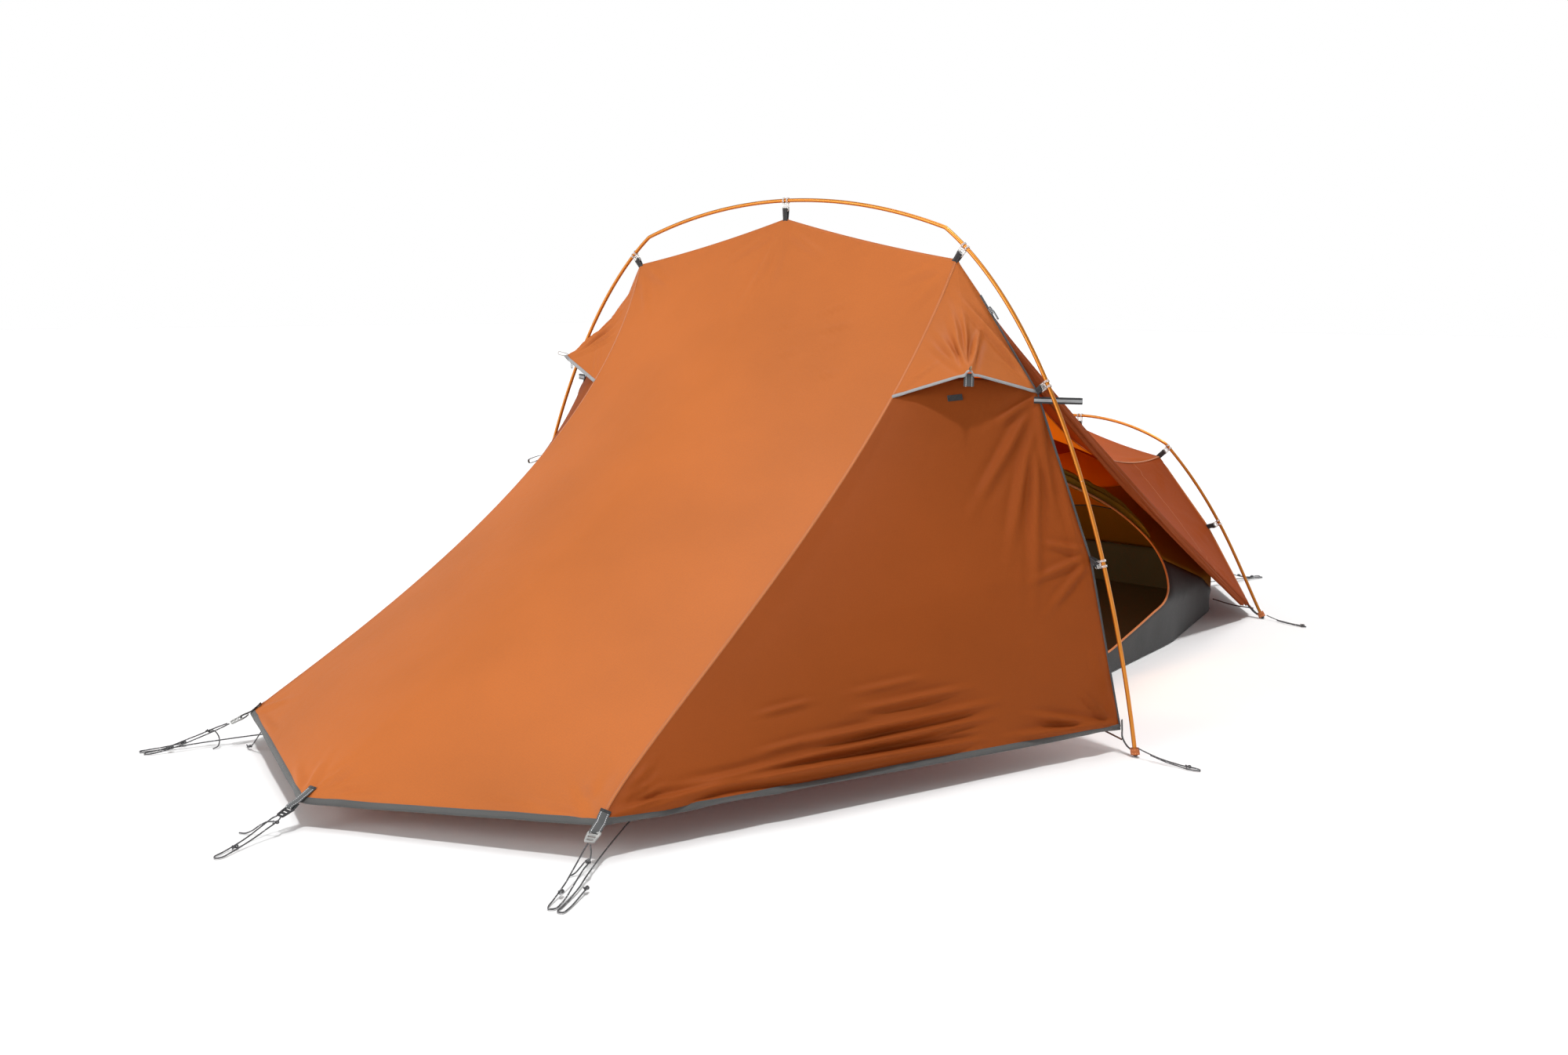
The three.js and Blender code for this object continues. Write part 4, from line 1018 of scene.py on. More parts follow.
REAR_FOLDS = [
    # long folds beside the diagonal
    ((0.12, 0.93), (0.62, 0.93), 0.0072, 0.008), ((0.30, 0.86), (0.88, 0.88), 0.0072, 0.0088),
    ((0.05, 0.80), (0.40, 0.84), 0.0054, 0.008), ((0.50, 0.95), (0.95, 0.96), 0.0054, 0.0064),
    ((0.95, 0.03), (0.70, 0.12), 0.0054, 0.0096), ((0.97, 0.06), (0.82, 0.30), 0.0054, 0.0096),
    ((0.98, 0.50), (0.78, 0.42), 0.0054, 0.0096), ((0.98, 0.54), (0.80, 0.66), 0.0054, 0.0096),
    ((0.985, 0.95), (0.80, 0.80), 0.0054, 0.008), ((0.03, 0.30), (0.30, 0.20), 0.0036, 0.008),
]
ROOF_FOLDS = [
    ((0.985, 0.015), (0.93, 0.14), 0.003, 0.012), ((0.97, 0.02), (0.82, 0.12), 0.003, 0.012),
    ((0.015, 0.015), (0.07, 0.14), 0.003, 0.012), ((0.03, 0.02), (0.18, 0.12), 0.003, 0.012),
    ((0.50, 0.015), (0.46, 0.14), 0.003, 0.012), ((0.51, 0.02), (0.55, 0.12), 0.003, 0.012),
    ((0.985, 0.985), (0.92, 0.86), 0.003, 0.012), ((0.015, 0.985), (0.08, 0.86), 0.003, 0.012),
    ((0.50, 0.985), (0.46, 0.86), 0.003, 0.012), ((0.51, 0.985), (0.56, 0.88), 0.003, 0.012),
]
FAR_FOLDS = [
    ((0.5, 0.02), (0.47, 0.5), 0.003, 0.012), ((0.5, 0.02), (0.54, 0.45), 0.003, 0.012),
    ((0.68, 0.03), (0.66, 0.5), 0.003, 0.012), ((0.32, 0.03), (0.34, 0.5), 0.003, 0.012),
    ((0.70, 0.98), (0.66, 0.5), 0.003, 0.012), ((0.30, 0.98), (0.34, 0.5), 0.003, 0.012),
    ((0.84, 0.04), (0.80, 0.6), 0.0025, 0.012), ((0.16, 0.04), (0.20, 0.6), 0.0025, 0.012),
]

steps = np.linspace(0, 1, NEAR_COLUMNS)
rows = np.linspace(0, 1, ROWS)
near_grid = folded(grid_of(near_end, steps, rows), NEAR_FOLDS, held_edges(ROWS, NEAR_COLUMNS, 0.01, 0.01, 0.01))
side_steps = np.linspace(0, 1, SIDE_COLUMNS)
side_grid = grid_of(side_panel, side_steps, np.linspace(0, 1, ROWS - VENT_ROW))
side_grid = folded(side_grid, SIDE_FOLDS, held_edges(ROWS - VENT_ROW, SIDE_COLUMNS, 0.02, 0.02))
hood_grid = grid_of(vent_hood, side_steps, np.linspace(0, 1, VENT_ROW + 1))
hood_grid = folded(hood_grid, HOOD_FOLDS, held_edges(VENT_ROW + 1, SIDE_COLUMNS, 0.04, 0.04))
roof_steps = np.linspace(0, 1, ROOF_ROWS)
roof_grid = folded(grid_of(roof, steps, roof_steps), ROOF_FOLDS, held_edges(ROOF_ROWS, NEAR_COLUMNS, 0.02, 0.02, 0.02, 0.02))
rear_rows = np.linspace(0, 1, ARCH_ROWS + 1)
rear_hold = held_edges(ARCH_ROWS + 1, ROOF_ROWS, 0.02, 0.02, 0.05, 0.05)
rear_grids = {
    "right": folded(grid_of(rear_panel, roof_steps, rear_rows), REAR_FOLDS, rear_hold),
    "left": folded(grid_of(rear_panel_straight, roof_steps, rear_rows), REAR_FOLDS, rear_hold),
}
half = np.concatenate([np.linspace(0, arch_share, ARCH_COLUMNS + 1)[:-1], np.linspace(arch_share, 1, ARCH_ROWS + 1)])
far_steps = (np.concatenate([-half[:0:-1], half]) + 1) / 2
far_grid = folded(grid_of(far_end, far_steps, np.linspace(0, 1, 31)), FAR_FOLDS, held_edges(31, len(far_steps), 0.01, 0.01, 0.04))

fly = Sewn()
fly.panel(near_grid, fly_light)
fly.panel(roof_grid, fly_top)
fly.panel(far_grid, fly_shaded_rear)
for side, turned in (("right", np.array), ("left", mirrored_grid)):
    fly.panel(turned(hood_grid), fly_light)
    fly.panel(turned(side_grid), fly_shaded)
    fly.panel(turned(rear_grids[side]), fly_shaded_rear)
flysheet = on_body(fly.build("flysheet"), stands_for=[
    "fly_near_end", "fly_side_panel_right", "fly_side_panel_left", "fly_vent_hood_right", "fly_vent_hood_left",
    "fly_roof", "fly_rear_panel_right", "fly_rear_panel_left", "fly_far_end",
])

# The door that is shut, on the left. It turns on its sewn diagonal edge.
DOOR_FOLDS = [
    ((0.02, 0.02), (0.10, 0.4), 0.003, 0.012), ((0.27, 0.02), (0.22, 0.3), 0.003, 0.012),
    ((0.30, 0.02), (0.36, 0.3), 0.003, 0.012), ((0.64, 0.02), (0.58, 0.3), 0.003, 0.012),
    ((0.66, 0.02), (0.72, 0.3), 0.003, 0.012), ((0.98, 0.02), (0.90, 0.3), 0.004, 0.011),
    ((0.97, 0.01), (0.93, 0.5), 0.004, 0.011), ((0.95, 0.6), (0.90, 0.9), 0.003, 0.010),
]
door_grid = grid_of(door_panel, np.linspace(0.004, 1, 81), np.linspace(0, 0.97, 121))
door_grid = folded(door_grid, DOOR_FOLDS, held_edges(121, 81, 0.03, 0, 0.02, 0.02))
door = Sewn()
door.panel(mirrored_grid(door_grid), fly_shaded)
left_door = on_body(door.build("left_door_cloth"), "left_door", ["fly_door_left"])


def ribbon(name, points, normals, width, thickness, material, shift=0.0, lift=0.0, body="tent"):
    """A tape on cloth along a line. shift moves it sideways on the cloth, and lift off it."""
    points = np.asarray(points, float)
    normals = np.asarray(normals, float)
    tangents = unit(np.gradient(points, axis=0))
    sides = unit(np.cross(normals, tangents))
    placed = points + shift * sides + lift * normals
    return strap(name, placed, width, thickness, material, up=normals, body=body)


def both_sides(make):
    """Makes a piece on the right, and its mirror image on the left."""
    for side, turned in (("right", np.array), ("left", mirrored)):
        make(side, turned)


near_normals = normals_of(near_grid)
side_normals = normals_of(side_grid)
hood_normals = normals_of(hood_grid)
far_normals = normals_of(far_grid)
door_normals = normals_of(door_grid)
roof_normals = normals_of(roof_grid)

HEM = 0.0125
ribbon("hem_near", near_grid[-1], near_normals[-1], HEM, 0.0024, hem_tape)
ribbon("hem_far", far_grid[-1, 2:-2], far_normals[-1, 2:-2], HEM, 0.0024, hem_tape)


def side_tapes(side, turned):
    rear_grid = rear_grids[side]
    rear_normals = normals_of(rear_grid)
    across = 1 if side == "right" else -1
    ribbon(f"hem_side_{side}", turned(side_grid[-1]), turned(side_normals[-1]), HEM, 0.0024, hem_tape)
    ribbon(f"hood_hem_{side}", turned(hood_grid[-1]), turned(hood_normals[-1]), 0.0085, 0.0026, reflective)
    seam_normals = unit(near_normals[:, -1] + np.concatenate([hood_normals[1:, 0][:1], hood_normals[1:, 0], side_normals[1:, 0]]))
    ribbon(f"long_seam_{side}", turned(near_grid[:, -1])[1:], turned(seam_normals)[1:], 0.006, 0.0014, seam_cloth)
    zip_line = np.concatenate([hood_grid[ZIP_ROW:, -1], side_grid[1:, -1]])
    zip_normals = np.concatenate([hood_normals[ZIP_ROW:, -1], side_normals[1:, -1]])
    ribbon(f"front_zip_tape_{side}", turned(zip_line), turned(zip_normals), 0.005, 0.0020, zip_tape, shift=-across * 0.0005)
    sweep_coil(f"front_zip_coil_{side}", turned(zip_line + arr(0, 0.001, 0)), "tent")
    ribbon(f"rear_seam_{side}", turned(rear_grid[:, -1]), turned(rear_normals[:, -1]), 0.006, 0.0016, seam_cloth)
    inside_edge = round(0.015 / np.linalg.norm(rear_grid[0, -1] - rear_grid[0, -2]))
    ribbon(f"rear_stitching_{side}", turned(rear_grid[:, -1 - inside_edge]), turned(rear_normals[:, -1 - inside_edge]),
           0.0025, 0.0014, seam_cloth)
    ribbon(f"roof_seam_{side}", turned(rear_grid[0]), turned(roof_normals[:, -1]), 0.007, 0.0014, seam_cloth)


def sweep_coil(name, points, body):
    """The coil of a zip: a thin ribbed line along the tape's edge."""
    coil = sweep(name, points, circle(0.0016, 8), zip_coil)
    return on_body(coil, body)


zip_coil = webbing("zip_coil", (0.05, 0.05, 0.052), None, rib=0.0016)
both_sides(side_tapes)

door_line = mirrored(door_grid[0])
ribbon("door_zip_tape_left", door_line, mirrored(door_normals[0]), 0.009, 0.0020, zip_tape, body="left_door")
sweep_coil("door_zip_coil_left", door_line - arr(0, 0.0015, 0), "left_door")
ribbon("door_hem_left", mirrored(door_grid[:, -1]), mirrored(door_normals[:, -1]), HEM, 0.0024, hem_tape, body="left_door")

# ---------------------------------------------------------------- hoops


def tube(name, points, outer, bore, material, sides=20):
    """A straight-ended hollow tube along a line."""
    points = np.asarray(points, float)
    tangents, across, ups = frames_along(points)
    along = np.concatenate([[0], np.cumsum(np.linalg.norm(np.diff(points, axis=0), axis=1))])
    rings, uv = [], []
    for radius in (outer / 2, bore / 2):
        section = circle(radius, sides)
        rings.append((points[:, None] + across[:, None] * section[:, :1] + ups[:, None] * section[:, 1:]).reshape(-1, 3))
        around = np.arange(sides) * 2 * math.pi * radius / sides
        uv.append(np.stack(np.broadcast_arrays(around[None, :], along[:, None]), axis=-1).reshape(-1, 2))
    count = len(points) * sides
    faces = grid_faces(len(points), sides, around=True) + grid_faces(len(points), sides, count, around=True)
    for ring in (0, len(points) - 1):
        for i in range(sides):
            a, b = ring * sides + i, ring * sides + (i + 1) % sides
            faces.append((a, b, count + b, count + a))
    mesh = mesh_of(name, np.concatenate(rings), faces, np.concatenate(uv))
    return sharpen(outwards(new_object(name, mesh, material)))


def section_of(line, start, end, step=0.006):
    """The part of a line from one share of its length to another."""
    at = polyline(line)
    count = max(2, round(line_length(line) * (end - start) / step))
    return at(np.linspace(start, end, count + 1))


def lathe(name, profile, at, along, material, sides=24):
    """A round body from (radius, height) pairs, standing on a point along a direction."""
    z = unit(np.asarray(along, float))
    x = unit(np.cross((0, 1, 0) if abs(z[1]) < 0.9 else (1, 0, 0), z))
    y = np.cross(z, x)
    vertices, faces = [], []
    for radius, height in profile:
        section = circle(max(radius, 1e-6), sides)
        vertices.append(np.asarray(at) + section[:, :1] * x + section[:, 1:] * y + height * z)
    faces = grid_faces(len(profile), sides, around=True)
    mesh = mesh_of(name, np.concatenate(vertices), faces)
    work = bmesh.new()
    work.from_mesh(mesh)
    bmesh.ops.remove_doubles(work, verts=work.verts, dist=1e-5)
    work.to_mesh(mesh)
    work.free()
    return sharpen(outwards(new_object(name, mesh, material)), 40)


JOINT = 0.0006
TIP_HEIGHT = 0.015


def poles(name, hoop):
    """The hoop's alloy sections, the ferrules between them, the shock cord inside and a plastic tip on each foot."""
    ridge = hoop.ridge(np.linspace(0, 1, 60))
    bottom = hoop.leg_at(TIP_HEIGHT + 0.001)
    leg = hoop.leg(np.linspace(0, bottom, 160))[1:]
    half_line = np.concatenate([ridge, leg])
    line = np.concatenate([mirrored(half_line[:0:-1]), half_line])
    length = line_length(line)
    elbow = 0.5 + line_length(ridge) / length
    below = 0.5 + line_length(np.concatenate([ridge, hoop.leg(np.linspace(0, 0.06, 8))[1:]])) / length
    legs = 2 if name == "main" else 1
    joints = [below + (1 - below) * i / legs for i in range(legs)]
    stops = [1 - j for j in joints[::-1]] + joints
    stops = [0] + stops + [1]
    parts = []
    for start, end in zip(stops, stops[1:]):
        gap = JOINT / length / 2
        first = start + (gap if start > 0 else 0)
        last = end - (gap if end < 1 else 0)
        parts.append(tube(f"{name}_pole_part", section_of(line, first, last), POLE, POLE_BORE, pole_alloy))
    whole = on_body(joined(f"{name}_pole", parts), stands_for=[
        f"{name}_hoop_ridge", f"{name}_hoop_leg_right", f"{name}_hoop_leg_left"])
    ferrules = []
    for stop in stops[1:-1]:
        span = 0.022 / length
        ferrules.append(tube(f"{name}_ferrule", section_of(line, stop - span, stop + span, 0.004), POLE_BORE - 0.0002,
                             0.0050, bare_alloy, 16))
    on_body(joined(f"{name}_pole_ferrules", ferrules))
    end = 0.030 / length
    elastic_cord = sweep(f"{name}_shock_cord", section_of(line, end, 1 - end), circle(SHOCK_CORD / 2, 10), elastic)
    on_body(elastic_cord, stands_for=[f"{name}_hoop_shock_cord"])
    foot = hoop.leg(1.0)
    up = unit(hoop.leg(bottom) - foot)
    profile = [
        (0, 0), (0.0028, 0.0002), (0.0044, 0.0016), (0.0050, 0.0045), (0.0050, 0.0070), (0.0046, 0.0075),
        (0.0046, 0.0085), (0.0050, 0.0090), (0.0050, 0.0140), (0.0047, 0.0150), (0.0030, 0.0152), (0.0030, 0.0250),
        (0.0022, 0.0270), (0, 0.0272),
    ]

    def tip(side, turned):
        piece = lathe(f"{name}_foot_tip_{side}", profile, turned(foot + arr(0, 0, 0.0008)), turned(up), black_plastic)
        on_body(piece, stands_for=[f"{name}_hoop_foot_tip_{side}"])

    both_sides(tip)


poles("main", MAIN)
poles("small", SMALL)

# ---------------------------------------------------------------- moulded plates and clips


def plate(name, outlines, thickness, bevel, material, place=None):
    """A moulded plate with rounded edges: the first outline is its edge and the others are holes."""
    curve = bpy.data.curves.new(name, "CURVE")
    curve.dimensions = "2D"
    curve.fill_mode = "BOTH"
    curve.extrude = thickness / 2 - bevel
    curve.bevel_depth = bevel
    curve.bevel_resolution = 2
    curve.offset = -bevel
    for outline in outlines:
        spline = curve.splines.new("POLY")
        spline.points.add(len(outline) - 1)
        spline.points.foreach_set("co", [c for x, y in outline for c in (x, y, 0, 1)])
        spline.use_cyclic_u = True
    source = bpy.data.objects.new(name, curve)
    bpy.context.scene.collection.objects.link(source)
    bpy.context.view_layer.update()
    mesh = bpy.data.meshes.new_from_object(source.evaluated_get(bpy.context.evaluated_depsgraph_get()))
    bpy.data.objects.remove(source)
    mesh.name = name
    work = bmesh.new()
    work.from_mesh(mesh)
    bmesh.ops.remove_doubles(work, verts=work.verts, dist=1e-6)
    bmesh.ops.recalc_face_normals(work, faces=work.faces)
    if place is not None:
        work.transform(place)
    work.to_mesh(mesh)
    work.free()
    mesh.materials.clear()
    return sharpen(new_object(name, mesh, material), 50)


def rounded(corners, radius, steps=5):
    """An outline with its corners rounded."""
    points = [np.array(c, float) for c in corners]
    out = []
    for i, corner in enumerate(points):
        before, after = points[i - 1], points[(i + 1) % len(points)]
        a = corner + unit(before - corner) * radius
        b = corner + unit(after - corner) * radius
        for t in np.linspace(0, 1, steps + 1):
            out.append(tuple((1 - t) ** 2 * a + 2 * t * (1 - t) * corner + t * t * b))
    return out


def rectangle(x0, y0, x1, y1):
    return [(x0, y0), (x1, y0), (x1, y1), (x0, y1)]


def basis(x, y, at):
    """A placement with its x and y axes along two directions at right angles."""
    z = np.cross(x, y)
    matrix = Matrix.Identity(4)
    for i in range(3):
        matrix[i][0], matrix[i][1], matrix[i][2], matrix[i][3] = x[i], y[i], z[i], at[i]
    return matrix


RING = 0.0130
RING_WIDTH = 0.0045
RINGS_APART = 0.0110
CLIP_BODY = (0.005, 0.024, 0.016, 0.005)  # from, to, width, thickness
SLOT = (0.018, 0.0215)
CLIP_STRAP = 0.0135


def clip(name, pole, tangent, edge):
    """A clear clip standing on a pole and facing the fly's edge, and its webbing to that edge."""
    y = unit(tangent)
    x = edge - pole
    x = unit(x - y * (x @ y))
    place = basis(x, y, pole)
    start, end, width, thickness = CLIP_BODY
    outline = rounded([(start, -width / 2), (end - 0.003, -width / 2), (end, -width / 2 + 0.002),
                       (end, width / 2 - 0.002), (end - 0.003, width / 2), (start, width / 2)], 0.0012, 3)
    half_slot = CLIP_STRAP / 2 + 0.0003
    hole = rounded(rectangle(SLOT[0], -half_slot, SLOT[1], half_slot), 0.0008, 3)
    dimple = rounded(rectangle(0.0085, -0.0035, 0.0145, 0.0035), 0.0015, 4)
    parts = [plate(f"{name}_body", [outline, hole, dimple], thickness, 0.0007, clip_plastic, place)]
    for shift in (-RINGS_APART / 2, RINGS_APART / 2):
        angles = np.linspace(0, 2 * math.pi, 25)[:-1]
        inner, outer = POLE / 2 + 0.0006, RING / 2
        lip = 0.0006
        profile = [(inner, -RING_WIDTH / 2 + lip), (inner + lip, -RING_WIDTH / 2), (outer - lip, -RING_WIDTH / 2),
                   (outer, -RING_WIDTH / 2 + lip), (outer, RING_WIDTH / 2 - lip), (outer - lip, RING_WIDTH / 2),
                   (inner + lip, RING_WIDTH / 2), (inner, RING_WIDTH / 2 - lip)]
        vertices = []
        for angle in angles:
            for radius, along in profile:
                local = Vector((radius * math.cos(angle), along + shift, radius * math.sin(angle)))
                vertices.append(tuple(place @ local))
        mesh = mesh_of(f"{name}_ring", vertices, wrap_faces(len(angles), len(profile)))
        parts.append(outwards(new_object(f"{name}_ring", mesh, clip_plastic)))
    on_body(joined(name + "_moulding", parts), stands_for=[name])
    slot = pole + x * (SLOT[0] + SLOT[1]) / 2
    normal = np.cross(x, y)
    one_way = [(edge, 0.012, 0.0016), (edge, 0.002, 0.0018), (slot, -0.0035, 0.0042), (slot, 0, 0.0034)]
    there = [place + x * along + normal * off for place, along, off in one_way]
    back = [place + x * along - normal * off for place, along, off in one_way[::-1]]
    line = smooth_line(np.array(there + [slot + x * 0.0001] + back), 0.0015)
    strap(f"{name}_webbing", line, CLIP_STRAP, 0.0014, black_webbing, up=np.cross(unit(np.gradient(line, axis=0)), y))


def hoop_clips(name, hoop, heights, points):
    clip(f"{name}_clip_crown", hoop.at(0, hoop.top), arr(1, 0, 0), points["apex"])
    for place, height in heights.items():
        t = hoop.leg_at(height)
        pole = hoop.leg(t)
        tangent = hoop.leg(t + 0.001) - pole

        def one(side, turned, pole=pole, tangent=tangent, edge=points[place], place=place):
            clip(f"{name}_clip_{place}_{side}", turned(pole), turned(tangent), turned(edge))

        both_sides(one)


hoop_clips("main", MAIN, MAIN_CLIPS, {"apex": apex, "shoulder": shoulder, "mid": main_mid, "low": main_low})
hoop_clips("small", SMALL, SMALL_CLIPS, {"apex": small_apex, "shoulder": small_shoulder, "mid": small_mid})

# ---------------------------------------------------------------- the rolled door

ROLL_THICK = 0.028
ROLL_WIDE = 0.034
ROLL_BELOW = 0.019
ROLL_OUT = 0.006
ROLL_TURNS = 9


def roll_frame():
    """The line that the door is rolled up under, the way down from it in the door's plane, and the way out."""
    line = unit(small_foot - door_top)
    down = lerp(door_edge(0.5), small_foot, 0.3) - lerp(door_top, small_foot, 0.5)
    down = unit(down - line * (down @ line))
    return line, down, unit(np.cross(line, down))


def door_roll():
    """The right door rolled and gathered along the diagonal: a spiral of cloth with long pleats down it."""
    line, down, out = roll_frame()
    stations = np.linspace(0, 1, 110)
    angles = np.linspace(0, 2 * math.pi * ROLL_TURNS, ROLL_TURNS * 30 + 1)
    t, a = stations[:, None], angles[None, :]
    slim = lerp(1, 0.45, t**2) * lerp(0.55, 1, np.minimum(1, t * 6))
    turn = a / (2 * math.pi * ROLL_TURNS)
    drift = 2.2 * t
    pleats = 0.16 * np.sin(5 * a + 3 * drift) + 0.10 * np.sin(8 * a - 4 * drift + 1) + 0.05 * np.sin(13 * a + 9 * t)
    radius = lerp(0.16, 0.90, turn) * (1 + pleats * (0.35 + 0.65 * turn))
    radius = radius * (1 + 0.05 * np.sin(17 * t + 2 * np.sin(a)))
    centre = diagonal(lerp(0.012, 0.965, stations), ROLLED_DOOR_SAG)
    centre = centre + DOOR_BEHIND * (1 - t) + down * (ROLL_BELOW * slim) + out * ROLL_OUT
    x = radius * np.cos(a + drift) * ROLL_WIDE / 2 * slim
    y = radius * np.sin(a + drift) * ROLL_THICK / 2 * slim
    points = centre[:, None] + x[..., None] * down + y[..., None] * out
    rolled = Sewn()
    rolled.panel(points, shaded_roll_cloth)
    piece = on_body(rolled.build("right_door_rolled", 0.0004), stands_for=["fly_door_roll_right"])
    # the single layer from the diagonal seam into the roll, in long folds
    us = np.linspace(0, 1, 110)
    vs = np.linspace(0, 1, 9)
    u, v = np.meshgrid(us, vs)
    slim = lerp(1, 0.45, u**2) * lerp(0.55, 1, np.minimum(1, u * 6))
    start = diagonal(lerp(0.002, 0.985, u), ROLLED_DOOR_SAG)
    reach = (ROLL_BELOW - 0.008) * v * slim
    bow = 0.004 * np.sin(math.pi * v) * slim + 0.0018 * np.sin(25 * v + 6 * u) * v
    apron_points = start + reach[..., None] * down + (bow + ROLL_OUT * 1.6 * v * slim)[..., None] * out
    apron = Sewn()
    apron.panel(apron_points, shaded_roll_cloth)
    over = on_body(apron.build("right_door_apron", 0.0006, weld=1e-6))


door_roll()

# ---------------------------------------------------------------- straps and loops


def flat_loop(name, route, side, width, thickness, material, body="tent", step=0.0015):
    """A tape along a route, its width always along the same direction."""
    line = smooth_line(route, step)
    side = unit(np.asarray(side, float))
    tangents = unit(np.gradient(line, axis=0))
    return strap(name, line, width, thickness, material, up=np.cross(tangents, side), body=body)


def loop_route(start, out, across, length, gap, sewn=0.006):
    """Out from a place on the cloth, round the end of the loop and back beside itself."""
    start, out, across = arr(*start), unit(arr(*out)), unit(arr(*across))
    steps = [(-sewn, 0.25), (0, 0.35), (0.15, 0.8), (0.5, 1), (0.85, 1), (0.97, 0.8), (1, 0)]
    one_way = []
    for reach, apart in steps:
        along = reach * length if reach > 0 else reach
        one_way.append((along, apart))
    there = [start + out * a + across * gap * s for a, s in one_way]
    back = [start + out * a - across * gap * s for a, s in one_way[-2::-1]]
    return np.array(there + back)


TRAY_ELASTICS = {
    "small_foot_elastic": [(0.448, 1.172, 0.034), (0.574, 1.158, 0.026)],
    "main_foot_elastic": [(0.598, -0.250, 0.112), (0.874, -0.256, 0.028)],
}


def straps_on_both(side, turned):
    def loop(name, start, out, across, wide_along, length, gap, width, material, thickness=0.0011):
        route = turned(loop_route(start, out, across, length, gap))
        flat_loop(f"{name}_{side}", route, turned(arr(*wide_along)), width, thickness, material)

    # the door's stiff tie loop at the middle clip
    loop("tie_loop", (0.655, -0.243, 0.684), (0.8, 0.6, -0.02), (0.6, -0.8, 0), (0, 0, 1), 0.090, 0.0038, 0.0130,
         loop_tape)
    # the small elastic loop on the vent hood's peak
    loop("peak_loop", (0.574, -0.369, 0.745), (0.62, -0.75, 0.22), (0, 0.2, 1), (0.75, 0.62, 0), 0.026, 0.0036, 0.003,
         elastic_tape, 0.0012)
    # webbing from the hem's corner by each foot down to a pocket round the pole's tip
    foot = MAIN.leg(MAIN.leg_at(0.028))
    route = [side_edge(0.985) + arr(0.004, 0.004, 0.004), side_edge(1.0) + arr(0.004, 0.002, -0.004),
             (0.872, -0.251, 0.032), (0.882, -0.253, 0.018), (0.892, -0.256, 0.013), (0.901, -0.259, 0.012)]
    flat_loop(f"main_foot_webbing_{side}", turned(np.array([arr(*p) for p in route])), turned(arr(0.25, -0.9, 0.2)),
              0.0125, 0.0014, black_webbing)
    pocket(f"main_foot_pocket_{side}", turned, MAIN)
    pocket(f"small_foot_pocket_{side}", turned, SMALL)
    route = [(0.556, 1.159, 0.036), (0.566, 1.159, 0.026), (0.577, 1.159, 0.016), (0.588, 1.159, 0.010),
             (0.597, 1.158, 0.009)]
    flat_loop(f"small_foot_webbing_{side}", turned(np.array(route)), turned(arr(0.1, 1, 0)), 0.0125, 0.0014,
              black_webbing)
    # webbing along the fly's low edge from the small foot
    ribbon(f"small_foot_edge_{side}", turned(far_grid[-1, -9:-1]), turned(far_normals[-1, -9:-1]), 0.016, 0.0034,
           black_webbing)
    # elastics from the floor's corner to the small foot and, in front, to the main foot
    for name, ends in TRAY_ELASTICS.items():
        line = turned(smooth_line([ends[0], lerp(arr(*ends[0]), arr(*ends[1]), 0.5) - arr(0, 0, 0.004), ends[1]], 0.004))
        on_body(sweep(f"{name}_{side}", line, circle(0.0017, 10), elastic))


def pocket(name, turned, hoop):
    """The sewn loop that the pole's tip stands in."""
    low, high = hoop.leg(hoop.leg_at(0.0045)), hoop.leg(hoop.leg_at(0.0175))
    line = np.linspace(low, high, 8)
    section = [(1.42 * x, y) for x, y in circle(0.0066, 20)]
    tangents, sides, ups = frames_along(line, arr(0, 1, 0))
    outer = line[:, None] + np.array([[x * s + y * p for x, y in section] for s, p in zip(sides, ups)])
    inner = line[:, None] + np.array([[0.82 * x * s + 0.82 * y * p for x, y in section] for s, p in zip(sides, ups)])
    count = len(section)
    total = len(line) * count
    faces = grid_faces(len(line), count, around=True) + grid_faces(len(line), count, total, around=True)
    for ring in (0, len(line) - 1):
        for i in range(count):
            a, b = ring * count + i, ring * count + (i + 1) % count
            faces.append((a, b, total + b, total + a))
    vertices = turned(np.concatenate([outer.reshape(-1, 3), inner.reshape(-1, 3)]))
    uv = np.zeros((len(vertices), 2))
    uv[:, 1] = np.tile(np.arange(count) * 0.002, 2 * len(line))
    uv[:, 0] = np.repeat(np.linspace(-0.0065, 0.0065, len(line)), count).tolist() * 2
    piece = outwards(new_object(name, mesh_of(name, vertices, faces, uv), orange_webbing))
    on_body(sharpen(piece, 50))


loop_tape = webbing("loop_tape", (0.36, 0.37, 0.38), None, rib=0.0014, edge=(0.0028, BLACK))
elastic_tape = webbing("elastic_tape", (0.35, 0.24, 0.13), None, rib=0.0008, edge=(0.0012, BLACK))
both_sides(straps_on_both)
# the small loop on the shut door's side
flat_loop("door_side_loop_left", mirrored(loop_route((0.812, -0.249, 0.471), (1, 0, -0.32), (0.32, 0, 1), 0.058, 0.0055)),
          (0, 1, 0), 0.006, 0.0012, elastic_tape)


def corner_webbing(name, line, normals, towards, away, width, material, fold=0.014):
    """Webbing sewn along a seam's end, then out past the hem to an adjuster's bar, round it and back."""
    corner = line[-1]
    x = unit(towards - corner)
    normal = unit(normals[-1] + arr(0, 0, 0.3))
    normal = unit(normal - x * (normal @ x))
    bar = corner + x * (away + 0.0015)
    route = list(line + normals * 0.0026)
    route += [corner + x * 0.008 + normal * 0.0022, bar - x * 0.004 + normal * 0.0032, bar + x * 0.0006 + normal * 0.0026,
              bar + x * 0.0022, bar + x * 0.0006 - normal * 0.0026, bar - x * 0.004 - normal * 0.0032,
              bar - x * fold - normal * 0.0012]
    points = smooth_line(np.array(route), 0.0025)
    side = unit(np.cross(normal, x))
    tangents = unit(np.gradient(points, axis=0))
    strap(name, points, width, 0.0013, material, up=np.cross(tangents, side))
    strap(f"{name}_bar", points[:3] + normals[0] * 0.0009, width + 0.0006, 0.0010, black_webbing,
          up=np.cross(tangents[:3], side))


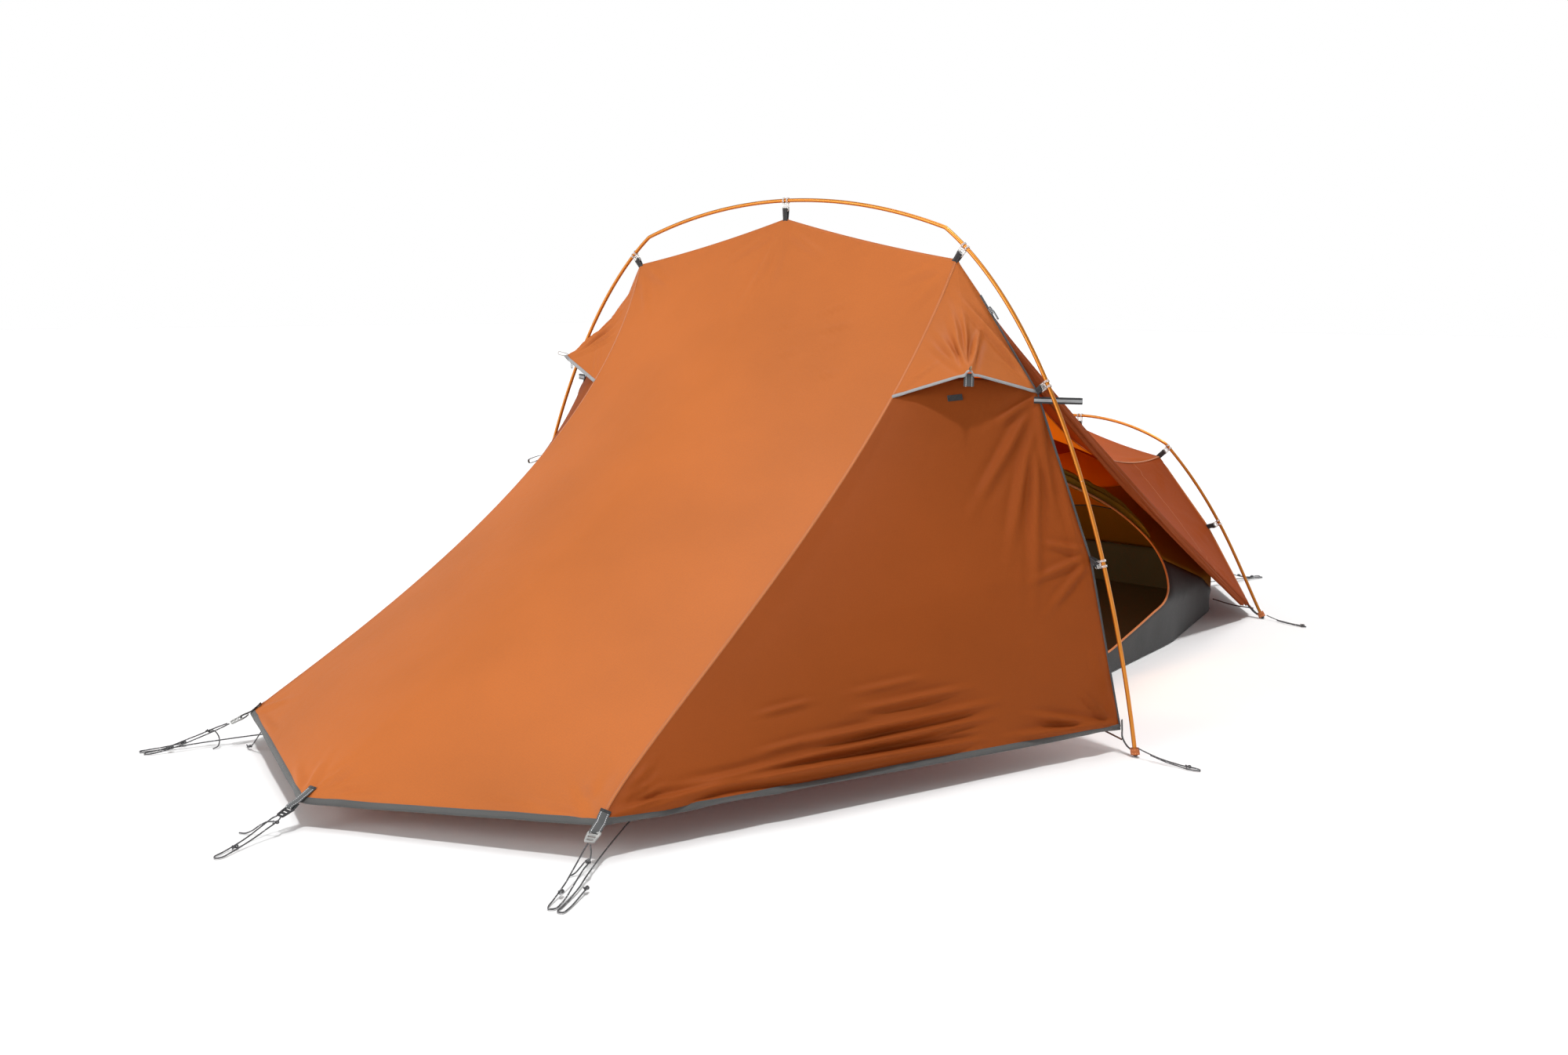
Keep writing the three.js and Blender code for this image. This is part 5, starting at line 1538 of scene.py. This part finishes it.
def near_corner_pieces(side, turned):
    line = near_grid[-11:, -1]
    normals = unit(near_normals[-11:, -1] + side_normals[-11:, -1])
    corner_webbing(f"near_corner_webbing_{side}", turned(line), turned(normals), turned(arr(*NEAR_CORNER_LINE[0])),
                   0.022, 0.0175, grey_webbing)
    buckle(f"near_corner_buckle_{side}", turned(NEAR_CORNER), turned(arr(*NEAR_CORNER_LINE[0])), f"{side}_buckle",
           grey_plastic, f"guy_buckle_near_{side}")
    # a tab at each far corner
    start = FAR_CORNER + arr(0, -0.012, 0.008)
    route = [start + arr(0, 0, 0.003), FAR_CORNER + arr(0.001, 0.002, 0.001), (0.304, 1.546, 0.057), (0.307, 1.558, 0.052)]
    flat_loop(f"far_corner_webbing_{side}", turned(np.array([arr(*p) for p in route])), turned(arr(1, -0.25, 0)), 0.016,
              0.0016, grey_webbing)


BUCKLE = {"wide": 0.024, "long": 0.024, "thick": 0.0032, "slot": 0.0036, "rim": 0.003}


def buckle(name, corner, towards, body, material, node):
    """A ladder-lock adjuster with a grooved grip at its far end."""
    x = unit(towards - corner)
    y = unit(np.cross((0, 0, 1), x))
    at = corner + x * 0.022
    wide, long, slot, rim = BUCKLE["wide"], BUCKLE["long"], BUCKLE["slot"], BUCKLE["rim"]
    outline = rounded([(0, -wide / 2), (long, -wide / 2 + 0.003), (long, wide / 2 - 0.003), (0, wide / 2)], 0.003, 6)
    holes = []
    for start in (rim, long / 2 - slot / 2, long - rim - slot):
        half = wide / 2 - rim - 0.001 - start / 8
        holes.append(rounded(rectangle(start, -half, start + slot, half), 0.0008, 3))
    place = basis(x, y, at)
    parts = [plate(f"{name}_plate", [outline] + holes, BUCKLE["thick"], 0.0008, material, place)]
    for place_x in (0.0078, 0.0160):
        grip = rounded(rectangle(place_x - 0.0008, -0.0065, place_x + 0.0008, 0.0065), 0.0006, 3)
        lift = place @ Matrix.Translation((0, 0, BUCKLE["thick"] / 2))
        parts.append(plate(f"{name}_rib", [grip], 0.0014, 0.0004, material, lift))
    on_body(joined(name, parts), body, [node])


both_sides(near_corner_pieces)
middle_line = near_grid[-11:, NEAR_COLUMNS // 2]
middle_normals = near_normals[-11:, NEAR_COLUMNS // 2]
corner_webbing("near_middle_webbing", middle_line, middle_normals, arr(0, -1.580, 0.022), 0.022, 0.017, grey_webbing)
buckle("near_middle_buckle", NEAR_MIDDLE, arr(0, -1.580, 0.022), "middle_buckle", black_plastic, "guy_buckle_near_middle")

# ---------------------------------------------------------------- vents and zip sliders


def vent_parts(side, turned):
    along = unit((main_mid - seam(SEAM_AT_VENT)) * (1, 1, 0))
    inwards = arr(-along[1], along[0], 0)
    top = arr(0.5697, -0.3635, 0.7387)
    front = -inwards
    route = [top + front * 0.0015, top + front * 0.0016 - arr(0, 0, 0.012), top + front * 0.0012 - arr(0, 0, 0.0245),
             top - arr(0, 0, 0.0262), top - front * 0.0012 - arr(0, 0, 0.0245), top - front * 0.0014 - arr(0, 0, 0.010)]
    flat_loop(f"vent_tab_cloth_{side}", turned(np.array(route)), turned(along), 0.020, 0.0009, grey_webbing,
              body=f"{side}_vent_tab", step=0.002)
    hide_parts(f"vent_tab_{side}")
    # its patch of hook-and-loop on the panel behind
    rows_down = 6
    column = SIDE_COLUMNS // 2 - 4
    centre = side_grid[rows_down, column]
    normal = side_normals[rows_down, column]
    tangent = unit(side_grid[rows_down, column + 2] - side_grid[rows_down, column - 2])
    line = [centre + tangent * s + normal * 0.0016 for s in np.linspace(-0.015, 0.015, 9)]
    ribbon_piece = sweep(f"vent_patch_{side}", turned(np.array(line)), strap_section(0.013, 0.0018), hook_tape,
                         turned(normal))
    on_body(sharpen(ribbon_piece, 50))


def fuzzy(name, colour):
    """Hook-and-loop tape: a mat of short stiff hooks."""
    nodes = Nodes(name)
    place = nodes.object_place()
    hooks = nodes.add("TexVoronoi", {"Vector": place, "Scale": 850.0}).outputs["Distance"]
    tone = nodes.mix(nodes.ramp(hooks, 0.0, 0.7), shade(colour, 1.6), shade(colour, 0.5))
    surface = nodes.add("BsdfPrincipled", {
        "Base Color": tone, "Roughness": 0.9, "Normal": nodes.bump(hooks, 0.9, 0.001), "Sheen Weight": 0.4,
    })
    return nodes.finish(surface.outputs[0])


hook_tape = fuzzy("hook_tape", (0.025, 0.025, 0.027))
both_sides(vent_parts)

SLIDER = {"wide": 0.008, "long": 0.017, "thick": 0.0045, "off": 0.0055}


def zip_parts(side, turned, height):
    """A slider on the zipped edge and the pull that hangs from it, where part.mjs has them."""
    edge = polyline([MAIN.at(0.455, 0.964, EDGE_BEHIND), main_mid, main_low, main_foot])
    t = bisect(lambda s: edge(s)[2], height)
    at = edge(t)
    up = unit(edge(t - 0.01) - edge(t + 0.01))
    out = unit(arr(up[2], 0, -up[0]))
    if out[0] < 0:
        out = -out
    at = at - arr(0, SLIDER["wide"] / 2 + 0.0005, 0) + out * SLIDER["off"]
    y = np.cross(up, out)
    wide, long, thick = SLIDER["wide"], SLIDER["long"], SLIDER["thick"]
    shape = rounded([(-wide / 2, -long / 2), (wide / 2, -long / 2), (wide / 2, long / 4), (0.0012, long / 2),
                     (-0.0012, long / 2), (-wide / 2, long / 4)], 0.0012, 4)
    place = basis(y, up, at)
    if side == "left":
        place = Matrix.Diagonal((-1, 1, 1, 1)) @ place
    parts = []
    for lift in (-thick / 2 + 0.0007, thick / 2 - 0.0007):
        parts.append(plate(f"zip_wing_{side}", [shape], 0.0014, 0.0004, zip_metal, place @ Matrix.Translation((0, 0, lift))))
    post = rounded(rectangle(-0.0014, -0.001, 0.0014, 0.006), 0.0008, 3)
    parts.append(plate(f"zip_post_{side}", [post], thick - 0.0012, 0.0003, zip_metal, place))
    bridge = rounded(rectangle(-0.0012, -0.0045, 0.0012, 0.0030), 0.0008, 3)
    parts.append(plate(f"zip_bridge_{side}", [bridge], 0.0016, 0.0004, zip_metal,
                       place @ Matrix.Translation((0, 0, thick / 2 + 0.0004))))
    on_body(joined(f"zip_slider_body_{side}", parts), f"{side}_zip_slider", [f"zip_slider_{side}"])
    half = 0.00325
    bottom = -0.024 + half
    arc = [(half * math.cos(a), bottom + half * math.sin(a)) for a in np.linspace(math.pi, 2 * math.pi, 14)]
    head = [(half * 0.8 * math.cos(a), -half + half * math.sin(a)) for a in np.linspace(0, math.pi, 14)]
    hole = [(0.0017 * math.cos(a), bottom + 0.0017 * math.sin(a)) for a in np.linspace(0, 2 * math.pi, 16)[:-1]]
    slot_hole = rounded(rectangle(-0.0012, -0.0075, 0.0012, -0.0028), 0.001, 3)
    hang = place @ Matrix.Translation((0, -0.002, thick / 2 + 0.0014))
    pull = plate(f"zip_pull_tab_{side}", [arc + head, hole, slot_hole], 0.0016, 0.0004, zip_metal, hang)
    on_body(pull, f"{side}_zip_pull", [f"zip_pull_{side}"])


zip_parts("right", np.array, 0.858)
zip_parts("left", mirrored, 0.095)

# ---------------------------------------------------------------- inner tent

TRAY_WALL = 0.120
DROP = 0.070
inner_shoulder = MAIN.at(0.360, 0.900, 0.008)
inner_apex = MAIN.at(0, 1.060 - DROP, 0.008)
inner_small_shoulder = SMALL.at(0.205, 0.365, -0.008)
inner_small_apex = SMALL.at(0, 0.505 - DROP, -0.008)
inner_near_corner = arr(0.400, -1.120, TRAY_WALL + 0.004)
inner_near_middle = arr(0, -1.250, TRAY_WALL + 0.004)
inner_far_corner = arr(0.255, 1.380, TRAY_WALL + 0.004)
inner_far_middle = arr(0, 1.400, TRAY_WALL + 0.004)
FLOOR_HALF = [(0, -1.250), (0.400, -1.120), (0.600, -0.250), (0.562, 0.330), (0.537, 0.712), (0.440, 1.190),
              (0.255, 1.380), (0, 1.400)]
DOORWAY = {"front": -0.150, "back": 0.880, "top": 0.580, "sill": 0.056}
TRAY_RIM = TRAY_WALL + 0.004
# The tray's rim, as y and z: level, up beside the doorway, and down to the corner tied to the small hoop's foot.
RIM_Y = (0.450, 0.840, 1.190, 1.370)
RIM_Z = (TRAY_RIM, 0.196, 0.054, TRAY_RIM)


def inner_seam(t):
    return bezier(inner_shoulder, arr(0.315, -0.430, 0.440), arr(0.370, -0.960, 0.210), inner_near_corner, t)


def inner_middle(t):
    return bezier(inner_apex, arr(0, -0.470, 0.460), arr(0, -1.050, 0.230), inner_near_middle, t)


def inner_near(u, v):
    across = 2 * u - 1
    weight = np.abs(across) ** (1 + 0.5 * np.sin(math.pi * v))
    return over_the_middle(inner_middle(v), inner_seam(v), across, weight)


def inner_roof(u, v):
    across = 2 * u - 1
    side = sagging(inner_shoulder, inner_small_shoulder, v, ROOF_SAG)
    centre = sagging(inner_apex, inner_small_apex, v, ROOF_SAG)
    weight = np.abs(across) ** (1 + 0.4 * np.sin(math.pi * v))
    return over_the_middle(centre, side, across, weight)


def inner_far(u, v):
    across = 2 * u - 1
    side = sagging(inner_small_shoulder, inner_far_corner, v, 0.018)
    centre = sagging(inner_small_apex, inner_far_middle, v, 0.025)
    weight = np.abs(across) ** (1 + 0.4 * np.sin(math.pi * v))
    return over_the_middle(centre, side, across, weight)


FOLDS_INNER = [((0.985, 0.02), (0.90, 0.14), 0.004, 0.014), ((0.015, 0.02), (0.10, 0.14), 0.004, 0.014),
               ((0.5, 0.02), (0.46, 0.14), 0.004, 0.014), ((0.5, 0.02), (0.55, 0.14), 0.004, 0.014)]
inner_steps = np.linspace(0, 1, 49)
inner_near_grid = grid_of(inner_near, inner_steps, np.linspace(0, 1, 61))
inner_near_grid = folded(inner_near_grid, FOLDS_INNER, held_edges(61, 49, 0.02, 0.02, 0.02, 0.02))
inner_roof_grid = grid_of(inner_roof, inner_steps, np.linspace(0, 1, 61))
inner_roof_grid = folded(inner_roof_grid, FOLDS_INNER, held_edges(61, 49, 0.02, 0.02, 0.02, 0.02))
inner_far_grid = grid_of(inner_far, inner_steps, np.linspace(0, 1, 21))

# The side wall, as a surface over the y and z of the tent's side view.
wall_top_line = np.concatenate([
    inner_seam(np.linspace(1, 0, 61)), sagging(inner_shoulder, inner_small_shoulder, np.linspace(0, 1, 61), ROOF_SAG)[1:],
    sagging(inner_small_shoulder, inner_far_corner, np.linspace(0, 1, 21), 0.018)[1:],
])
def rounded_floor(count=260, radius=0.05):
    """The floor's outline, all the way round, with its corners rounded."""
    half = [np.array(p) for p in FLOOR_HALF]
    whole = half + [p * (-1, 1) for p in half[-2:0:-1]]
    out = rounded(whole, radius, 6)
    line = polyline(np.c_[np.array(out + out[:1]), np.zeros(len(out) + 1)])
    return line(np.linspace(0, 1, count, endpoint=False))[:, :2]


floor_line = rounded_floor()
floor_line = floor_line[floor_line[:, 0] > 0]
floor_line = floor_line[np.argsort(floor_line[:, 1])]


def wall_x(y, z):
    """How far out the side wall stands at a place in the side view."""
    top_x = np.interp(y, wall_top_line[:, 1], wall_top_line[:, 0])
    top_z = np.interp(y, wall_top_line[:, 1], wall_top_line[:, 2])
    foot_x = np.interp(y, floor_line[:, 1], floor_line[:, 0]) - 0.001
    t = np.clip((z - TRAY_WALL) / np.maximum(top_z - TRAY_WALL, 1e-4), 0, 1)
    return lerp(foot_x, top_x, t)


def tray_rim(y):
    """The height of the tray's rim."""
    return np.interp(y, RIM_Y, RIM_Z)


def doorway_line():
    """The doorway's edge in the side view, from the bottom of its front side over the top and round the sill."""
    front, back, top, sill = (DOORWAY[k] for k in ("front", "back", "top", "sill"))

    def curve(a, b, c, d, count):
        return bezier(arr(*a), arr(*b), arr(*c), arr(*d), np.linspace(0, 1, count, endpoint=False))

    def bend(a, b, c, count):
        a, b, c = arr(*a), arr(*b), arr(*c)
        return bezier(a, lerp(a, b, 2 / 3), lerp(c, b, 2 / 3), c, np.linspace(0, 1, count, endpoint=False))

    parts = [
        curve((front, sill + 0.060), (front, 0.25), (front, 0.38), (front, top - 0.080), 24),
        bend((front, top - 0.080), (front + 0.060, top + 0.060), (0.150, top), 20),
        curve((0.150, top), (0.420, 0.400), (back - 0.020, 0.400), (back, 0.235), 40),
        curve((back, 0.235), (back - 0.010, 0.150), (0.620, 0.110), (0.300, sill), 30),
        curve((0.300, sill), (0.2, sill), (0.05, sill), (front + 0.090, sill), 16),
        bend((front + 0.090, sill), (front, sill), (front, sill + 0.060), 14),
    ]
    return np.concatenate(parts)


doorway = doorway_line()
above = doorway[:, 1] >= tray_rim(doorway[:, 0])
upper_door = doorway[above]


def open_wall():
    """The wall with the doorway: a strip from the doorway's edge to the wall's outer edge."""
    steps_round = np.linspace(0, 1, 141)
    outer_line = polyline(np.c_[wall_top_line[:, 1], wall_top_line[:, 2], np.zeros(len(wall_top_line))])
    inner_line = polyline(np.c_[upper_door, np.zeros(len(upper_door))])
    inner_yz = inner_line(steps_round)[:, :2]
    outer_yz = outer_line(steps_round)[:, :2]
    for end in (0, -1):
        inner_yz[end, 1] = tray_rim(inner_yz[end, 0])
    rings = np.linspace(0, 1, 17)
    y = lerp(inner_yz[None, :, 0], outer_yz[None, :, 0], rings[:, None])
    z = lerp(inner_yz[None, :, 1], outer_yz[None, :, 1], rings[:, None])
    # the lower edge at the back follows the tray's rim
    follow = np.clip((steps_round - 0.86) / 0.14, 0, 1) ** 2
    z = z + (tray_rim(y[:, -1]) - z[:, -1])[:, None] * follow
    return np.stack([wall_x(y, z), y, z], axis=-1)


def shut_wall():
    """The wall without a doorway, from its top edge down to the tray."""
    top = np.concatenate([wall_top_line[:1], wall_top_line])[1:]
    at = polyline(top)
    line = at(np.linspace(0, 1, 121))
    v = np.linspace(0, 1, 25)[:, None]
    y = np.broadcast_to(line[None, :, 1], (25, 121))
    z = lerp(line[None, :, 2], tray_rim(line[None, :, 1]), v)
    points = np.stack([wall_x(y, z), y, z], axis=-1)
    bow = 0.02 * np.sin(math.pi * v) * np.sin(math.pi * np.linspace(0, 1, 121))[None, :]
    points[..., 0] -= bow
    return points


inner = Sewn()
inner.panel(inner_near_grid, inner_cloth)
inner.panel(inner_roof_grid, inner_gold)
FAR_BAND = 10  # rows of the gold cloth above the brown at the far end
inner.panel(inner_far_grid[:FAR_BAND + 1], inner_gold)
inner.panel(inner_far_grid[FAR_BAND:], inner_cloth)
inner.panel(open_wall(), inner_cloth)
left_wall = mirrored(shut_wall())
band = 11  # rows of the gold cloth above the brown
inner.panel(left_wall[:band + 1], inner_gold)
inner.panel(left_wall[band:], inner_cloth)
inner_canopy = on_body(inner.build("inner_canopy"), stands_for=[
    "inner_near_end", "inner_roof", "inner_far_end", "inner_wall_right", "inner_wall_left"])
far_inner_normals = normals_of(inner_far_grid)
ribbon("inner_far_trim", inner_far_grid[FAR_BAND, 1:-1], far_inner_normals[FAR_BAND, 1:-1], 0.006, 0.0022, black_webbing)
left_normals = normals_of(left_wall)
ribbon("inner_left_trim", left_wall[band, 2:-2], left_normals[band, 2:-2], 0.006, 0.0022, black_webbing)


def doorway_places(line):
    """The doorway's edge in space: on the wall above the tray, and on the tray's own wall below."""
    y, z = line[:, 0], line[:, 1]
    return np.stack([wall_x(y, z), y, z], axis=-1)


door_ring = doorway_places(doorway)
door_ring = np.concatenate([door_ring, door_ring[:1]])
ring_line = smooth_line(door_ring[::3], 0.006)
on_body(sweep("inner_doorway_piping", ring_line, circle(0.0026, 10), orange_piping))


def inner_door():
    """The inner door, gathered in pleats along the doorway's rear edge."""
    rear = doorway_places(doorway[45:86])
    at = polyline(rear)
    stations = np.linspace(0, 1, 90)
    centre = at(stations) + arr(-0.010, 0.012, 0.014)
    tangents, sides, ups = frames_along(centre, arr(1, 0, 0))
    a = np.linspace(0, 2 * math.pi, 73)[:-1]
    t, angle = stations[:, None], a[None, :]
    slim = (0.45 + 0.55 * np.sin(math.pi * np.clip(t * 0.9 + 0.05, 0, 1)) ** 0.5) * np.clip((1 - t) / 0.22, 0.03, 1) ** 0.6
    radius = 0.022 * slim * (1 + 0.16 * np.sin(6 * angle + 2 * t) + 0.10 * np.sin(11 * angle - 3 * t)
                             + 0.10 * np.sin(52 * t + 2 * np.sin(angle)))
    x, y = radius * np.cos(angle) * 0.6, radius * np.sin(angle) * 1.4
    points = centre[:, None] + x[..., None] * sides[:, None] + y[..., None] * ups[:, None]
    faces = grid_faces(len(stations), len(a), around=True)
    faces.append(list(range(len(a)))[::-1])
    faces.append([(len(stations) - 1) * len(a) + i for i in range(len(a))])
    closed = np.concatenate([points, points[:, :1]], axis=1)
    uv = arc_uv(closed)[:, :-1].reshape(-1, 2)
    piece = new_object("inner_door_gathered", mesh_of("inner_door_gathered", points.reshape(-1, 3), faces, uv),
                       inner_door_cloth)
    return on_body(outwards(piece))


inner_door()


def tray():
    """The floor and its walls, which rise to the inner tent and dip at the doorway."""
    outline = rounded_floor()
    centre = arr(0, 0.05)
    rings, levels = [], []
    shares = np.concatenate([np.linspace(0.02, 0.985, 26), [0.993, 0.998]])
    for share in shares:
        rings.append(lerp(centre, outline, share))
        levels.append(np.full(len(outline), 0.0016 + 0.0012 * (share > 0.99)))
    sill = tray_rim(outline[:, 1])
    right = outline[:, 0] > 0.3
    lower = doorway[~above]
    order = np.argsort(lower[:, 0])
    inside = (outline[:, 1] > lower[order[0], 0]) & (outline[:, 1] < lower[order[-1], 0])
    dips = np.interp(outline[:, 1], lower[order, 0], lower[order, 1])
    sill = np.where(right & inside, np.minimum(dips, sill), sill)
    bottom = 0.005
    for share in np.linspace(0, 1, 9):
        rings.append(outline * (1 - 0.002 * (1 - share)))
        levels.append(bottom + (sill - bottom) * share)
    rings, levels = np.array(rings), np.array(levels)
    points = np.concatenate([rings, levels[..., None]], axis=-1)
    u = np.linspace(0, 1, len(outline), endpoint=False)
    wave = np.sin(2 * math.pi * 23 * u) + 0.6 * np.sin(2 * math.pi * 41 * u + 1)
    share = np.clip((levels - bottom) / np.maximum(sill - bottom, 1e-3), 0, 1)
    push = 0.0022 * wave[None, :] * np.sin(math.pi * share)
    outward = unit(outline - centre)
    points[..., :2] -= np.abs(push)[..., None] * outward[None]
    # above its upright part, the tray's wall leans in with the inner tent's
    y, z = points[..., 1], points[..., 2]
    lean = wall_x(y, np.minimum(z, TRAY_WALL)) - wall_x(y, z)
    points[..., 0] -= np.where(np.abs(points[..., 0]) > 0.3, lean * np.sign(points[..., 0]), 0)
    closed = np.concatenate([points, points[:, :1]], axis=1)
    return closed


tray_grid = tray()
floor_sheet = Sewn()
floor_sheet.panel(tray_grid, floor_cloth)
tray_piece = on_body(floor_sheet.build("inner_floor", 0.0010), stands_for=["inner_floor_tray"])

# ---------------------------------------------------------------- floor and light

ground_nodes = Nodes("pale_floor")
ground_surface = ground_nodes.add("BsdfPrincipled", {
    "Base Color": ground_nodes.mix(ground_nodes.noise(ground_nodes.object_place(), 3.0, 4), (0.90, 0.90, 0.90, 1), (0.94, 0.94, 0.94, 1)),
    "Roughness": 0.9, "Specular IOR Level": 0.1,
})
pale_floor = ground_nodes.finish(ground_surface.outputs[0])
ground_mesh = mesh_of("floor", [(-40, -40, -0.0006), (40, -40, -0.0006), (40, 40, -0.0006), (-40, 40, -0.0006)], [(0, 1, 2, 3)])
ground = new_object("floor", ground_mesh, pale_floor)

DOME = 0.33  # how bright the studio is overhead. Round the horizon it is white
world = bpy.data.worlds.new("studio")
world.use_nodes = True
sky = world.node_tree
place = sky.nodes.new("ShaderNodeTexCoord")
height = sky.nodes.new("ShaderNodeSeparateXYZ")
fade = sky.nodes.new("ShaderNodeMapRange")
fade.inputs["From Min"].default_value = 0.24
fade.inputs["From Max"].default_value = 0.40
fade.inputs["To Min"].default_value = 1.0
fade.inputs["To Max"].default_value = DOME
sky.links.new(place.outputs["Generated"], height.inputs[0])
sky.links.new(height.outputs[2], fade.inputs["Value"])
sky.links.new(fade.outputs[0], sky.nodes["Background"].inputs[1])
sky.nodes["Background"].inputs[0].default_value = (1, 1, 1, 1)
bpy.context.scene.world = world


def far_light(name, towards, strength, angle):
    """A large, distant softbox: the direction is from the tent to the light."""
    data = bpy.data.lights.new(name, "SUN")
    data.energy = strength
    data.angle = math.radians(angle)
    lamp = bpy.data.objects.new(name, data)
    lamp.matrix_world = Vector(towards).to_track_quat("Z", "Y").to_matrix().to_4x4()
    bpy.context.scene.collection.objects.link(lamp)


def glow(name, at, towards, size, power, colour):
    """A soft panel of light inside the tent, for the daylight that its cloth lets in."""
    data = bpy.data.lights.new(name, "AREA")
    data.energy = power
    data.size = size
    data.color = colour
    lamp = bpy.data.objects.new(name, data)
    turned_to = (-Vector(towards)).to_track_quat("Z", "Y").to_matrix().to_4x4()
    lamp.matrix_world = Matrix.Translation(at) @ turned_to
    bpy.context.scene.collection.objects.link(lamp)


far_light("overhead", (0.12, -0.10, 0.98), 1.7, 5)
far_light("overhead_soft", (-0.16, 0.22, 0.96), 0.7, 28)
far_light("front", (-0.42, -0.85, 0.32), 1.35, 35)
glow("inner_glow", (0.0, 0.0, 0.40), (0.0, 0.80, -0.30), 0.45, 5.0, (1.0, 0.62, 0.22))
glow("porch_glow", (0.10, -0.58, 0.30), (0.80, -0.12, 0.40), 0.22, 4.0, (1.0, 0.8, 0.6))
bpy.context.scene.view_settings.view_transform = "Standard"
